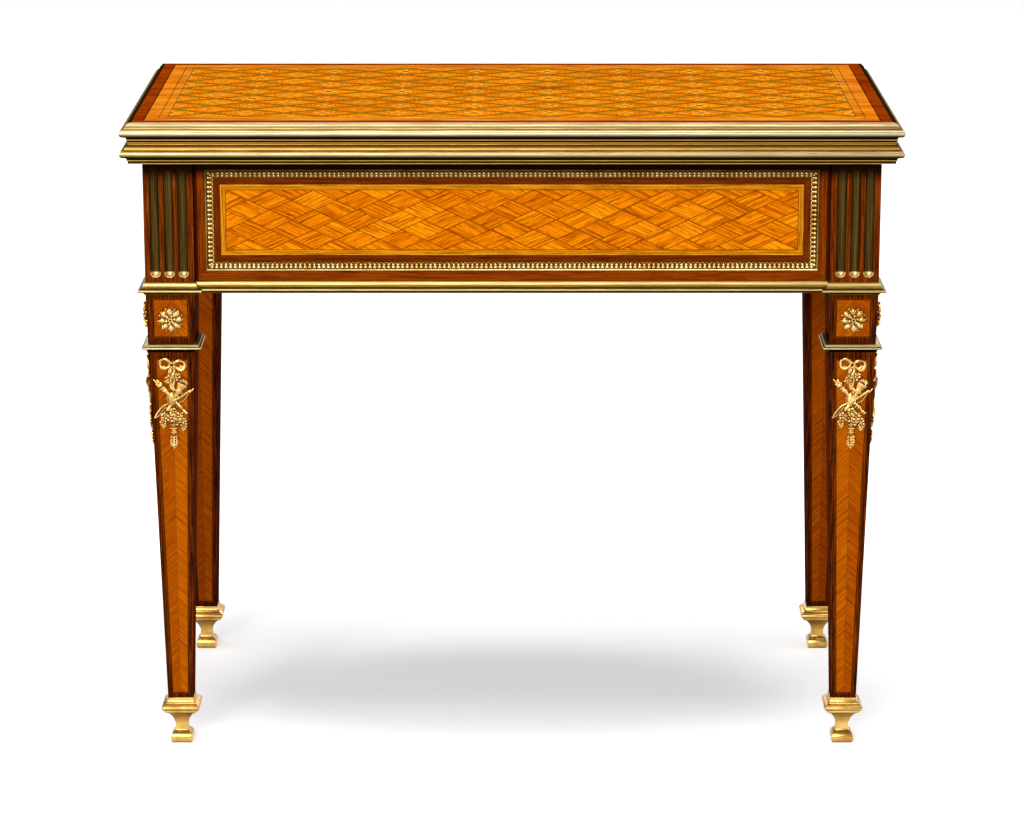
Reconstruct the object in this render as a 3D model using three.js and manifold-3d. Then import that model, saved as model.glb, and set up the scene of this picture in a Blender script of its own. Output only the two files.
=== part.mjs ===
// Games table with a double top that turns on a pivot and folds open to a square, in millimetres, +Z up.
// The front looks along -Y. The origin is on the floor, under the middle of the table's overall plan.
import * as THREE from "three";
import { mergeVertices } from "three/addons/utils/BufferGeometryUtils.js";
import Module from "manifold-3d";

const wasm = await Module();
wasm.setup();

// Overall sizes
const tableHeight = 760;
const topWidth = 900; // over the beads of the brass edges
const topOverhang = 24; // bead beyond the leg blocks, at the front and the sides
const backOverhang = 2; // hinge edge beyond the frame's back
const seatGap = 0.3; // left between pieces that seat on each other
const cutOverrun = 4; // how far a cutter runs past the face it opens

// Leaves of the top
const leafThickness = 23.7;
const edgeWidth = 13;
const edgeFillet = 3.4;
const edgeBeadRadius = 4.5;
const edgeBeadHeight = 12.3; // bead's centre above the leaf's lower face, on both leaves
const edgeQuirk = 1.1; // upright strip above the slope
const edgeStep = 1.1; // shoulder behind the bead
const edgeShoulder = 0.6; // flat of the shoulder above the bead
const edgeSlopeSwell = 3; // how far the slope swells above its chord
const edgeRebate = 4.2; // upright strip below the undercut
const baizeThickness = 0.9;
const baizeDrop = 0.2; // cloth below the leaf's face
const baizeSideBorder = 68;
const baizeFrontBorder = 62;
const baizeHingeBorder = 14;

// Leg, from the frame down to the floor
const blockWidth = 57.5;
const taperFootWidth = 30;
const spigotWidth = 21;
const spigotLength = 13;
const dieHeight = 59.5;

// Flutes in the outer faces of the leg blocks
const fluteCount = 3;
const fluteWidth = 11.6;
const fluteDepth = 4.4;
const flutePitch = 16.3;
const fluteLength = 128.3;
const fluteFootMargin = 6; // wood between the frame moulding and the flute

// Brass moulding round the foot of the frame
const frameMouldingHeight = 14.4;
const frameMouldingProjection = 8.2;
const frameMouldingBead = 1.8;
const frameMouldingBeadHeight = 4.9;
const mouldingLipShare = 0.125; // upright fillets of the mouldings against their projection

// Brass collar between die and taper
const collarHeight = 9.5;
const collarProjection = 7.2;
const collarCoveHeight = 3.9; // hollow under the bead
const collarBead = 1.4;
const collarStep = 2.3; // upper band behind the bead
const collarLip = 1; // foot of the hollow

// Cast foot, a square sabot
const sabotHeight = 58;
const sabotRimMargin = 0.8; // rim beyond the leg
const sabotOgeeWidth = 40;
const sabotOgeeHeight = 50.2;
const sabotBeadRadius = 3.1;
const sabotBeadWidth = 45.6;
const sabotBeadHeight = 46.4;
const sabotFilletWidth = 39.4;
const sabotFilletTop = 42.9;
const sabotFilletFoot = 40.8;
const sabotNeckWidth = 15;
const sabotNeckTop = 22;
const sabotNeckFoot = 14.6;
const sabotBaseWidth = 26;
const sabotBaseShoulder = 7.6;
const sabotSoleWidth = 23.2;
const sabotSoleEase = 3.6; // height of the rounding round the sole

// Frame rails
const railRecess = 9; // rail face behind the block face
const railThickness = 20;
const frameHeight = 156; // frame top to the foot of the frame moulding
const tenonThickness = 8;
const tenonLength = 19;
const tenonShoulder = 22; // rail above and below the tenon
const grooveDepth = 6;

// Card well, middle rail and pivot board
const middleRailThickness = 18;
const middleRailDrop = 1.2; // below the frame's top
const floorThickness = 8;
const floorRise = 14; // floor above the rail's foot
const boardThickness = 16;
const boardDrop = 1.4; // below the frame's top

// Swivel fitting
const swivelPlateLength = 104;
const swivelPlateWidth = 46;
const swivelPlateThickness = 4;
const pivotDiameter = 14;
const pivotClearance = 0.3;
const pegDiameter = 8;
const pegRadius = 62; // from pivot to stop peg
const pegStart = 225; // direction of the peg at rest, in degrees
const swivelAngle = 90;
const nutWidth = 22;
const nutHeight = 10;
const nutFlangeDiameter = 34;
const nutFlangeThickness = 2.4;
const pivotTail = 3; // pivot below the nut

// Card-table hinges
const hingeLength = 56;
const hingeInset = 34; // hinge centre from the end of the leaf
const hingePlateWidth = 30;
const hingePlateThickness = 2;
const knuckleRadius = 3.4;
const knuckleCentreLength = 24;
const hingePinRadius = 1.5;
const hingeBoreRadius = 1.85;
const hingeAxisOut = 0.15; // hinge axis behind the leaf's edge

// Beaded bronze frames on the friezes
const beadFrameWidth = 9.6;
const beadFrameBand = 2.3; // raised outer band, close to the beads
const beadFrameBandHeight = 2.4;
const beadFrameBeadRadius = 2.3;
const beadFrameGround = 0.9; // height of the flat ground that the beads stand on
const beadFrameSideMargin = 12.8;
const beadFrameTopMargin = 9.6;
const beadFrameFootMargin = 12.3;

// Rosettes on the dies
const rosetteRadius = 15.4;
const rosetteRelief = 5.8;
const rosetteEdge = 1;
const rosettePetals = 12;
const rosetteRingShares = [0.16, 0.36, 0.56, 0.76, 1];
const rosetteInnerShare = 0.6; // reach of the inner ring of petals
const rosetteNotchShare = 0.16; // depth of the notches between the outer petals

// Trophy mounts on the tapers
const trophyHeight = 109;
const trophyTopMargin = 7.5; // from the collar's foot to the top of the ribbon
const trophyFlatShare = 0.72; // relief of its round forms against their width
const trophyKnotShare = 0.067; // knot of the ribbon below the top

// Facets
const arcSteps = 6;
const curveSteps = 4;
const fluteSteps = 3;
const roundSides = 16;
const slotSteps = 14;
const ballSides = 6;
const ballRows = 4;
const stemSides = 4;
const loopSides = 8;
const weldDistance = 1e-4;

// Sizes that follow
const topDepth = topWidth / 2;
const boardWidth = topWidth - 2 * (edgeWidth + seatGap);
const boardDepth = topDepth - edgeWidth - seatGap;
const frameWidth = topWidth - 2 * topOverhang;
const frameDepth = topDepth - topOverhang - backOverhang;
const frontEdgeY = -(topOverhang + frameDepth + seatGap + frameMouldingProjection) / 2;
const hingeEdgeY = frontEdgeY + topDepth;
const frameFrontY = frontEdgeY + topOverhang;
const frameBackY = frameFrontY + frameDepth;
const frameCentreY = (frameFrontY + frameBackY) / 2;
const frameTopZ = tableHeight - 2 * (leafThickness + seatGap);
const frameFootZ = frameTopZ - frameHeight;
const frameMouldingTopZ = frameFootZ + frameMouldingHeight;
const collarTopZ = frameFootZ - dieHeight;
const collarFootZ = collarTopZ - collarHeight;
const lowerLeafZ = frameTopZ + seatGap;
const upperLeafZ = lowerLeafZ + leafThickness + seatGap;
const hingeAxisZ = upperLeafZ - seatGap / 2;
const hingeAxisY = hingeEdgeY + hingeAxisOut;
const railSpanX = frameWidth - 2 * blockWidth;
const railSpanY = frameDepth - 2 * blockWidth;
const taperSlope = (blockWidth - taperFootWidth) / 2 / (frameFootZ - sabotHeight);

// The pivot lies where a quarter turn carries the closed top to one half of the frame,
// with its hinge edge on the frame's middle line.
const pivotX = (hingeEdgeY - frameCentreY) / 2;
const pivotY = (hingeEdgeY + frameCentreY) / 2;

// Materials
function finish(color, roughness, metalness) {
  return new THREE.MeshStandardMaterial({ color, roughness, metalness });
}
const veneer = finish(0xa8641f, 0.35, 0);
const rosewood = finish(0x5a2412, 0.35, 0);
const innerWood = finish(0xb08a5a, 0.6, 0);
const cloth = finish(0x2f5d3a, 0.95, 0);
const brass = finish(0xb8924a, 0.3, 1);
const gilt = finish(0xd9a441, 0.25, 1);
const steel = finish(0x77787a, 0.4, 1);

// Turns a closed geometry into a solid for cutting and joining.
function solidOf(geometry) {
  const bare = new THREE.BufferGeometry();
  bare.setAttribute("position", geometry.getAttribute("position"));
  bare.setIndex(geometry.getIndex());
  const merged = mergeVertices(bare, weldDistance);
  const vertProperties = merged.attributes.position.array;
  const triVerts = new Uint32Array(merged.index.array);
  return new wasm.Manifold(new wasm.Mesh({ numProp: 3, vertProperties, triVerts }));
}

// Turns a solid back into a geometry with flat faces.
function geometryOf(solid) {
  const mesh = solid.getMesh();
  const places = new Float32Array(mesh.numVert * 3);
  for (let i = 0; i < mesh.numVert; i += 1) {
    places.set(mesh.vertProperties.subarray(i * mesh.numProp, i * mesh.numProp + 3), i * 3);
  }
  const indexed = new THREE.BufferGeometry();
  indexed.setAttribute("position", new THREE.BufferAttribute(places, 3));
  indexed.setIndex(new THREE.BufferAttribute(mesh.triVerts, 1));
  const flat = indexed.toNonIndexed();
  flat.computeVertexNormals();
  return flat;
}

function joined(geometries) {
  return geometries.map(solidOf).reduce((sum, next) => sum.add(next));
}

function cutBy(solid, geometries) {
  return geometries.map(solidOf).reduce((left, cutter) => left.subtract(cutter), solid);
}

// A box between two corners.
function boxBetween(low, high) {
  const size = high.map((value, axis) => value - low[axis]);
  const box = new THREE.BoxGeometry(...size);
  return box.translate(...low.map((value, axis) => value + size[axis] / 2));
}

// A cylinder standing on Z between two heights.
function rod(radius, lowZ, highZ, x, y, sides = roundSides) {
  const cylinder = new THREE.CylinderGeometry(radius, radius, highZ - lowZ, sides);
  return cylinder.rotateX(Math.PI / 2).translate(x, y, (lowZ + highZ) / 2);
}

// A cylinder lying along X between two places.
function rodAlongX(radius, lowX, highX, y, z, sides = roundSides) {
  const cylinder = new THREE.CylinderGeometry(radius, radius, highX - lowX, sides);
  return cylinder.rotateZ(Math.PI / 2).translate((lowX + highX) / 2, y, z);
}

// A square body from a profile of half widths and heights: a turning with four sides.
function squareTurned(profile) {
  const points = profile.map(([half, z]) => new THREE.Vector2(half * Math.SQRT2, z));
  return new THREE.LatheGeometry(points, 4).rotateX(Math.PI / 2).rotateZ(Math.PI / 4);
}

// Sweeps a profile (out, up) along a plan path with mitred corners. The outer side is on the right
// of the path. An open path starts and ends with a point that only sets the angle of the end.
function mouldingRun(profile, path, closed = false) {
  const count = path.length;
  const at = (i) => path[(i + count) % count];
  const normal = (from, to) => {
    const length = Math.hypot(to[0] - from[0], to[1] - from[1]);
    return [(to[1] - from[1]) / length, -(to[0] - from[0]) / length];
  };
  const stations = [];
  for (let i = closed ? 0 : 1; i < (closed ? count : count - 1); i += 1) {
    const before = normal(at(i - 1), at(i));
    const after = normal(at(i), at(i + 1));
    const share = 1 + before[0] * after[0] + before[1] * after[1];
    stations.push({ place: at(i), out: [(before[0] + after[0]) / share, (before[1] + after[1]) / share] });
  }
  const rows = profile.length;
  const places = [];
  for (const { place, out } of stations) {
    for (const point of profile) {
      places.push(place[0] + point.x * out[0], place[1] + point.x * out[1], point.y);
    }
  }
  const faces = [];
  const runs = closed ? stations.length : stations.length - 1;
  for (let run = 0; run < runs; run += 1) {
    const near = run * rows;
    const far = ((run + 1) % stations.length) * rows;
    for (let j = 0; j < rows; j += 1) {
      const k = (j + 1) % rows;
      faces.push(near + j, far + j, far + k, near + j, far + k, near + k);
    }
  }
  if (!closed) {
    const last = (stations.length - 1) * rows;
    for (const [a, b, c] of THREE.ShapeUtils.triangulateShape(profile, [])) {
      faces.push(a, b, c, last + a, last + c, last + b);
    }
  }
  const geometry = new THREE.BufferGeometry();
  geometry.setAttribute("position", new THREE.Float32BufferAttribute(places, 3));
  geometry.setIndex(faces);
  return geometry;
}

// Points of a closed outline, without the doubled last point.
function outlinePoints(shape) {
  const points = shape.getPoints(curveSteps);
  const kept = points.filter((point, i) => i === 0 || point.distanceTo(points[i - 1]) > weldDistance);
  if (kept[0].distanceTo(kept[kept.length - 1]) < weldDistance) kept.pop();
  return THREE.ShapeUtils.isClockWise(kept) ? kept.reverse() : kept;
}

function arcPoints(x, y, radius, fromDegrees, toDegrees, steps = arcSteps) {
  const points = [];
  for (let i = 0; i <= steps; i += 1) {
    const angle = THREE.MathUtils.degToRad(fromDegrees + ((toDegrees - fromDegrees) * i) / steps);
    points.push([x + radius * Math.cos(angle), y + radius * Math.sin(angle)]);
  }
  return points;
}

const parts = new THREE.Group();
const frame = new THREE.Group();
const lowerTop = new THREE.Group();
const upperTop = new THREE.Group();
parts.add(frame, lowerTop, upperTop);

function place(group, name, geometry, material) {
  const shape = geometry.isBufferGeometry ? geometry : geometryOf(geometry);
  const mesh = new THREE.Mesh(shape, material);
  mesh.name = name;
  group.add(mesh);
  return mesh;
}

// Moulding with a cavetto above its bead and a cove below, as outline points (out, up).
function cavettoMoulding(height, projection, beadRadius, beadHeight) {
  const beadOut = projection - beadRadius;
  const lip = projection * mouldingLipShare;
  const shape = new THREE.Shape();
  shape.moveTo(0, 0);
  shape.lineTo(lip, 0);
  shape.quadraticCurveTo(lip, beadHeight - beadRadius, beadOut, beadHeight - beadRadius);
  for (const [x, y] of arcPoints(beadOut, beadHeight, beadRadius, -90, 90)) shape.lineTo(x, y);
  shape.quadraticCurveTo(lip, beadHeight + beadRadius, lip, height - lip / 2);
  shape.lineTo(lip, height);
  shape.lineTo(0, height);
  return outlinePoints(shape);
}

// Collar between die and taper: a hollow below, a bead, and a sloping band set back above it.
function collarOutline() {
  const beadOut = collarProjection - collarBead;
  const bandOut = collarProjection - collarStep;
  const beadTop = collarCoveHeight + 2 * collarBead;
  const shape = new THREE.Shape();
  shape.moveTo(0, 0);
  shape.lineTo(collarLip, 0);
  shape.quadraticCurveTo(collarLip, collarCoveHeight, beadOut, collarCoveHeight);
  for (const [x, y] of arcPoints(beadOut, collarCoveHeight + collarBead, collarBead, -90, 90)) {
    shape.lineTo(x, y);
  }
  shape.lineTo(bandOut, beadTop);
  shape.lineTo(bandOut - collarLip, collarHeight);
  shape.lineTo(0, collarHeight);
  return outlinePoints(shape);
}

// Brass edge of a leaf as it lies on the closed table: a swelling slope, a shoulder, the bead
// and an undercut hollow with a rebate at its foot.
function edgeOutline() {
  const beadOut = edgeWidth - edgeBeadRadius;
  const beadTop = edgeBeadHeight + edgeBeadRadius;
  const beadFoot = edgeBeadHeight - edgeBeadRadius;
  const shape = new THREE.Shape();
  shape.moveTo(0, 0);
  shape.lineTo(edgeFillet, 0);
  shape.lineTo(edgeFillet, edgeRebate);
  shape.quadraticCurveTo(edgeFillet, beadFoot - edgeStep, beadOut - edgeStep, beadFoot - edgeStep);
  shape.lineTo(beadOut - edgeStep, beadFoot);
  for (const [x, y] of arcPoints(beadOut, edgeBeadHeight, edgeBeadRadius, -90, 90)) shape.lineTo(x, y);
  shape.lineTo(beadOut - edgeStep, beadTop);
  shape.lineTo(beadOut - edgeStep, beadTop + edgeShoulder);
  shape.quadraticCurveTo(
    beadOut - edgeStep,
    beadTop + edgeShoulder + edgeSlopeSwell,
    edgeFillet,
    leafThickness - edgeQuirk,
  );
  shape.lineTo(edgeFillet, leafThickness);
  shape.lineTo(0, leafThickness);
  return outlinePoints(shape);
}

// The same outline for a leaf that is turned over afterwards.
function upsideDown(outline) {
  return outline.map((point) => new THREE.Vector2(point.x, leafThickness - point.y)).reverse();
}

// Leg corners, each with the signs of its outer X and Y sides
const corners = [
  { name: "front_left", sideX: -1, sideY: -1 },
  { name: "front_right", sideX: 1, sideY: -1 },
  { name: "back_left", sideX: -1, sideY: 1 },
  { name: "back_right", sideX: 1, sideY: 1 },
];

function legCentre({ sideX, sideY }) {
  const x = (sideX * (frameWidth - blockWidth)) / 2;
  const y = frameCentreY + (sideY * (frameDepth - blockWidth)) / 2;
  return [x, y];
}

// Half width of the tapered leg at a height.
function taperHalfAt(z) {
  return taperFootWidth / 2 + taperSlope * (z - sabotHeight);
}

// A flute cutter: a long body with round ends, flattened to the flute's depth.
function fluteCutter() {
  const radius = fluteWidth / 2;
  const straight = fluteLength / 2 - radius;
  const ends = (from, to, shift) =>
    arcPoints(0, 0, radius, from, to, fluteSteps).map(([x, y]) => new THREE.Vector2(x, y + shift));
  const profile = [...ends(-90, 0, -straight), ...ends(0, 90, straight)];
  profile[0].x = 0;
  profile[profile.length - 1].x = 0;
  const body = new THREE.LatheGeometry(profile, 4 * fluteSteps).rotateX(Math.PI / 2);
  return body.scale(1, fluteDepth / radius, 1);
}

// The leg turns so that its own -Y and -X faces are the outer ones, for a front left leg.
function legSolid() {
  const half = blockWidth / 2;
  const wood = solidOf(
    squareTurned([
      [0, sabotHeight - spigotLength],
      [spigotWidth / 2, sabotHeight - spigotLength],
      [spigotWidth / 2, sabotHeight],
      [taperFootWidth / 2, sabotHeight],
      [half, frameFootZ],
      [half, frameTopZ],
      [0, frameTopZ],
    ]),
  );
  const cutters = [];
  const fluteZ = frameMouldingTopZ + fluteFootMargin + fluteLength / 2;
  for (let i = 0; i < fluteCount; i += 1) {
    const across = (i - (fluteCount - 1) / 2) * flutePitch;
    cutters.push(fluteCutter().translate(across, -half, fluteZ));
    cutters.push(fluteCutter().rotateZ(Math.PI / 2).translate(-half, across, fluteZ));
  }
  const tenonLow = frameFootZ + tenonShoulder - seatGap;
  const tenonHigh = frameTopZ - tenonShoulder + seatGap;
  const slotLow = -half + railRecess + (railThickness - tenonThickness) / 2 - seatGap;
  const slotHigh = slotLow + tenonThickness + 2 * seatGap;
  const slotEnd = half - tenonLength - seatGap;
  const past = half + cutOverrun;
  cutters.push(boxBetween([slotEnd, slotLow, tenonLow], [past, slotHigh, tenonHigh]));
  cutters.push(boxBetween([slotLow, slotEnd, tenonLow], [slotHigh, past, tenonHigh]));
  return cutBy(wood, cutters);
}

// Outline of the sabot, half widths and heights, from its socket out and down to the sole.
function sabotProfile() {
  const beadOut = sabotBeadWidth / 2 - sabotBeadRadius;
  const rim = taperFootWidth / 2 + sabotRimMargin;
  const socket = spigotWidth / 2 + seatGap;
  const socketFoot = sabotHeight - spigotLength - seatGap;
  const neckHollow = new THREE.QuadraticBezierCurve(
    new THREE.Vector2(sabotNeckWidth / 2, sabotNeckTop),
    new THREE.Vector2(sabotNeckWidth / 2 + sabotBeadRadius / 2, sabotFilletFoot - sabotBeadRadius),
    new THREE.Vector2(sabotFilletWidth / 2 - sabotRimMargin, sabotFilletFoot),
  );
  const baseSwell = new THREE.QuadraticBezierCurve(
    new THREE.Vector2(sabotBaseWidth / 2, sabotBaseShoulder),
    new THREE.Vector2(sabotBaseWidth / 2 - sabotSoleEase, sabotNeckFoot - sabotSoleEase),
    new THREE.Vector2(sabotNeckWidth / 2, sabotNeckFoot),
  );
  const capOgee = new THREE.QuadraticBezierCurve(
    new THREE.Vector2(sabotOgeeWidth / 2, sabotOgeeHeight),
    new THREE.Vector2(rim + sabotRimMargin, sabotOgeeHeight + sabotRimMargin),
    new THREE.Vector2(rim, sabotHeight - sabotRimMargin),
  );
  const pairs = (curve) => curve.getPoints(curveSteps + 1).map((point) => [point.x, point.y]);
  return [
    [0, 0],
    [sabotSoleWidth / 2, 0],
    [sabotBaseWidth / 2, sabotSoleEase],
    ...pairs(baseSwell),
    ...pairs(neckHollow),
    [sabotFilletWidth / 2, sabotFilletFoot],
    [sabotFilletWidth / 2, sabotFilletTop],
    ...arcPoints(beadOut, sabotBeadHeight, sabotBeadRadius, -90, 90),
    [sabotOgeeWidth / 2, sabotOgeeHeight - sabotRimMargin],
    ...pairs(capOgee),
    [rim, sabotHeight],
    [socket, sabotHeight],
    [socket, socketFoot],
    [0, socketFoot],
  ];
}

// A closed path round a rectangle, from its half width and half depth.
function rectanglePath(halfX, halfY) {
  return [
    [-halfX, -halfY],
    [halfX, -halfY],
    [halfX, halfY],
    [-halfX, halfY],
  ];
}

function addLegs() {
  const collarInner = taperHalfAt(collarTopZ) + seatGap;
  const collarShape = mouldingRun(
    collarOutline(),
    rectanglePath(collarInner, collarInner),
    true,
  ).translate(0, 0, collarFootZ);
  const sabotShape = squareTurned(sabotProfile());
  const wood = geometryOf(legSolid());
  for (const corner of corners) {
    const [x, y] = legCentre(corner);
    const turn = Math.atan2(corner.sideY, corner.sideX) - Math.atan2(-1, -1);
    const leg = place(frame, `leg_${corner.name}`, wood.clone(), rosewood);
    leg.position.set(x, y, 0);
    leg.rotation.z = turn;
    const sabot = place(frame, `sabot_${corner.name}`, sabotShape.clone(), gilt);
    sabot.position.set(x, y, 0);
    const collar = place(frame, `collar_${corner.name}`, collarShape.clone(), brass);
    collar.position.set(x, y, 0);
  }
}

// A rail of a given span between two blocks, made along X with its outer face on -Y.
function railSolid(span, extraCutters = []) {
  const half = span / 2 - seatGap;
  const reach = span / 2 + tenonLength;
  const tenonLow = (railThickness - tenonThickness) / 2;
  const body = joined([
    boxBetween([-half, 0, frameFootZ], [half, railThickness, frameTopZ]),
    boxBetween(
      [-reach, tenonLow, frameFootZ + tenonShoulder],
      [reach, tenonLow + tenonThickness, frameTopZ - tenonShoulder],
    ),
  ]);
  return cutBy(body, extraCutters);
}

// Grooves in a rail's inner face, from one place along it to another.
function floorGroove(fromX, toX) {
  const low = frameFootZ + floorRise - seatGap;
  const high = low + floorThickness + 2 * seatGap;
  return boxBetween([fromX, railThickness - grooveDepth, low], [toX, railThickness + cutOverrun, high]);
}

function boardGroove(fromX, toX) {
  const high = frameTopZ - boardDrop + seatGap;
  const low = high - boardThickness - 2 * seatGap;
  return boxBetween([fromX, railThickness - grooveDepth, low], [toX, railThickness + cutOverrun, high]);
}

function middleHousing() {
  const half = middleRailThickness / 2 + seatGap;
  const low = frameFootZ + floorRise - seatGap;
  return boxBetween(
    [-half, railThickness - grooveDepth, low],
    [half, railThickness + cutOverrun, frameTopZ + cutOverrun],
  );
}

function addRails() {
  const halfX = railSpanX / 2 + cutOverrun;
  const halfY = railSpanY / 2 + cutOverrun;
  const middle = middleRailThickness / 2;
  const faceX = frameWidth / 2 - railRecess;
  const frontCuts = [floorGroove(-halfX, -middle), boardGroove(middle, halfX), middleHousing()];
  const front = place(frame, "rail_front", railSolid(railSpanX, frontCuts), veneer);
  front.position.y = frameFrontY + railRecess;
  const backCuts = [floorGroove(middle, halfX), boardGroove(-halfX, -middle), middleHousing()];
  const back = place(frame, "rail_back", railSolid(railSpanX, backCuts), veneer);
  back.position.y = frameBackY - railRecess;
  back.rotation.z = Math.PI;
  const left = place(frame, "rail_left", railSolid(railSpanY, [floorGroove(-halfY, halfY)]), veneer);
  left.position.set(-faceX, frameCentreY, 0);
  left.rotation.z = -Math.PI / 2;
  const right = place(frame, "rail_right", railSolid(railSpanY, [boardGroove(-halfY, halfY)]), veneer);
  right.position.set(faceX, frameCentreY, 0);
  right.rotation.z = Math.PI / 2;
}

// The moulding round the frame's foot: straight runs on the rails and stepped runs round the blocks.
function addFrameMouldings() {
  const outline = cavettoMoulding(
    frameMouldingHeight,
    frameMouldingProjection,
    frameMouldingBead,
    frameMouldingBeadHeight,
  );
  const straight = (span) => {
    const half = span / 2 - seatGap;
    const path = [[-half, -half], [-half, 0], [half, 0], [half, -half]];
    return mouldingRun(outline, path).translate(0, -seatGap, frameFootZ);
  };
  const sides = [
    ["frame_moulding_front", railSpanX, [0, frameFrontY + railRecess], 0],
    ["frame_moulding_back", railSpanX, [0, frameBackY - railRecess], Math.PI],
    ["frame_moulding_left", railSpanY, [railRecess - frameWidth / 2, frameCentreY], -Math.PI / 2],
    ["frame_moulding_right", railSpanY, [frameWidth / 2 - railRecess, frameCentreY], Math.PI / 2],
  ];
  for (const [name, span, [x, y], turn] of sides) {
    const run = place(frame, name, straight(span), brass);
    run.position.set(x, y, 0);
    run.rotation.z = turn;
  }
  const out = blockWidth / 2 + seatGap;
  const inner = -blockWidth / 2 + railRecess - seatGap;
  const path = [
    [inner, blockWidth],
    [inner, out],
    [-out, out],
    [-out, -out],
    [out, -out],
    [out, inner],
    [blockWidth, inner],
  ];
  const round = mouldingRun(outline, path).translate(0, 0, frameFootZ);
  for (const corner of corners) {
    const [x, y] = legCentre(corner);
    const run = place(frame, `block_moulding_${corner.name}`, round.clone(), brass);
    run.position.set(x, y, 0);
    run.rotation.z = Math.atan2(corner.sideY, corner.sideX) - Math.atan2(-1, -1);
  }
}

// Curved slot for the stop peg, about the pivot: a quarter of a ring with round ends.
function pegSlot() {
  const half = pegDiameter / 2 + pivotClearance;
  const endPlay = THREE.MathUtils.radToDeg(pivotClearance / pegRadius);
  const from = pegStart - endPlay;
  const to = pegStart + swivelAngle + endPlay;
  const [start, end] = arcPoints(0, 0, pegRadius, from, to, 1);
  const outline = [
    ...arcPoints(0, 0, pegRadius + half, from, to, slotSteps),
    ...arcPoints(...end, half, to, to + 180).slice(1, -1),
    ...arcPoints(0, 0, pegRadius - half, to, from, slotSteps),
    ...arcPoints(...start, half, from - 180, from).slice(1, -1),
  ];
  return new THREE.Shape(outline.map(([x, y]) => new THREE.Vector2(x, y)));
}

// Card well on the left, open from above; pivot board on the right, open from below.
function addCarcase() {
  const innerX = frameWidth / 2 - railRecess - railThickness;
  const innerY = frameDepth / 2 - railRecess - railThickness;
  const middle = middleRailThickness / 2;
  const reach = grooveDepth - seatGap;
  const cornerX = frameWidth / 2 - blockWidth - seatGap;
  const cornerY = frameDepth / 2 - blockWidth - seatGap;
  const railLow = frameFootZ + floorRise;
  const railTop = frameTopZ - middleRailDrop;
  const notch = (sideX, sideY, low, high) =>
    boxBetween(
      [
        sideX < 0 ? -innerX - cutOverrun - grooveDepth : cornerX,
        sideY < 0 ? -innerY - cutOverrun - grooveDepth : cornerY,
        low - cutOverrun,
      ],
      [
        sideX < 0 ? -cornerX : innerX + cutOverrun + grooveDepth,
        sideY < 0 ? -cornerY : innerY + cutOverrun + grooveDepth,
        high + cutOverrun,
      ],
    );
  const rail = cutBy(
    solidOf(boxBetween([-middle, -innerY - reach, railLow], [middle, innerY + reach, railTop])),
    [
      boxBetween(
        [-middle - cutOverrun, -innerY - grooveDepth, railLow - cutOverrun],
        [-middle + grooveDepth, innerY + grooveDepth, railLow + floorThickness + seatGap],
      ),
      boxBetween(
        [middle - grooveDepth, -innerY - grooveDepth, frameTopZ - boardDrop - boardThickness - seatGap],
        [middle + cutOverrun, innerY + grooveDepth, frameTopZ + cutOverrun],
      ),
    ],
  );
  place(frame, "middle_rail", rail, innerWood).position.y = frameCentreY;
  const floorTop = railLow + floorThickness;
  const floor = cutBy(
    solidOf(
      boxBetween(
        [-innerX - reach, -innerY - reach, railLow],
        [-middle + grooveDepth - seatGap, innerY + reach, floorTop],
      ),
    ),
    [notch(-1, -1, railLow, floorTop), notch(-1, 1, railLow, floorTop)],
  );
  place(frame, "well_floor", floor, innerWood).position.y = frameCentreY;
  const boardTop = frameTopZ - boardDrop;
  const boardLow = boardTop - boardThickness;
  const pivotLocalY = pivotY - frameCentreY;
  const boreRadius = pivotDiameter / 2 + pivotClearance;
  const slotDepth = boardThickness + 2 * cutOverrun;
  const slotBody = new THREE.ExtrudeGeometry(pegSlot(), { depth: slotDepth, bevelEnabled: false });
  slotBody.translate(pivotX, pivotLocalY, boardLow - cutOverrun);
  const board = cutBy(
    solidOf(
      boxBetween(
        [middle - grooveDepth + seatGap, -innerY - reach, boardLow],
        [innerX + reach, innerY + reach, boardTop],
      ),
    ),
    [
      notch(1, -1, boardLow, boardTop),
      notch(1, 1, boardLow, boardTop),
      rod(boreRadius, boardLow - cutOverrun, boardTop + cutOverrun, pivotX, pivotLocalY),
      slotBody,
    ],
  );
  place(frame, "pivot_board", board, innerWood).position.y = frameCentreY;
}

// A leaf made with its playing face up, its front on -Y and its hinge edge at the group's hinge line.
function leafSolid(cutters) {
  const half = boardWidth / 2;
  const front = -boardDepth;
  const recess = baizeThickness + baizeDrop + seatGap;
  const faceCut = boxBetween(
    [-half + baizeSideBorder, front + baizeFrontBorder, leafThickness - recess],
    [half - baizeSideBorder, -baizeHingeBorder, leafThickness + cutOverrun],
  );
  const hinges = [];
  for (const side of [-1, 1]) {
    const centre = side * (half - hingeInset);
    const halfLength = hingeLength / 2 + seatGap;
    const knuckleRoom = knuckleRadius + seatGap;
    hinges.push(
      boxBetween(
        [centre - halfLength, -hingePlateWidth - seatGap, leafThickness - hingePlateThickness - seatGap],
        [centre + halfLength, cutOverrun, leafThickness + cutOverrun],
      ),
      boxBetween(
        [centre - halfLength, -knuckleRoom, leafThickness - knuckleRoom],
        [centre + halfLength, cutOverrun, leafThickness + cutOverrun],
      ),
    );
  }
  const board = solidOf(boxBetween([-half, front, 0], [half, 0, leafThickness]));
  return cutBy(board, [faceCut, ...hinges, ...cutters]);
}

// Cloth of a playing face, in the same place as the leaf.
function baizeShape() {
  const half = boardWidth / 2 - baizeSideBorder - seatGap;
  const front = -boardDepth + baizeFrontBorder + seatGap;
  const low = leafThickness - baizeDrop - baizeThickness;
  return boxBetween([-half, front, low], [half, -baizeHingeBorder - seatGap, low + baizeThickness]);
}

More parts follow.
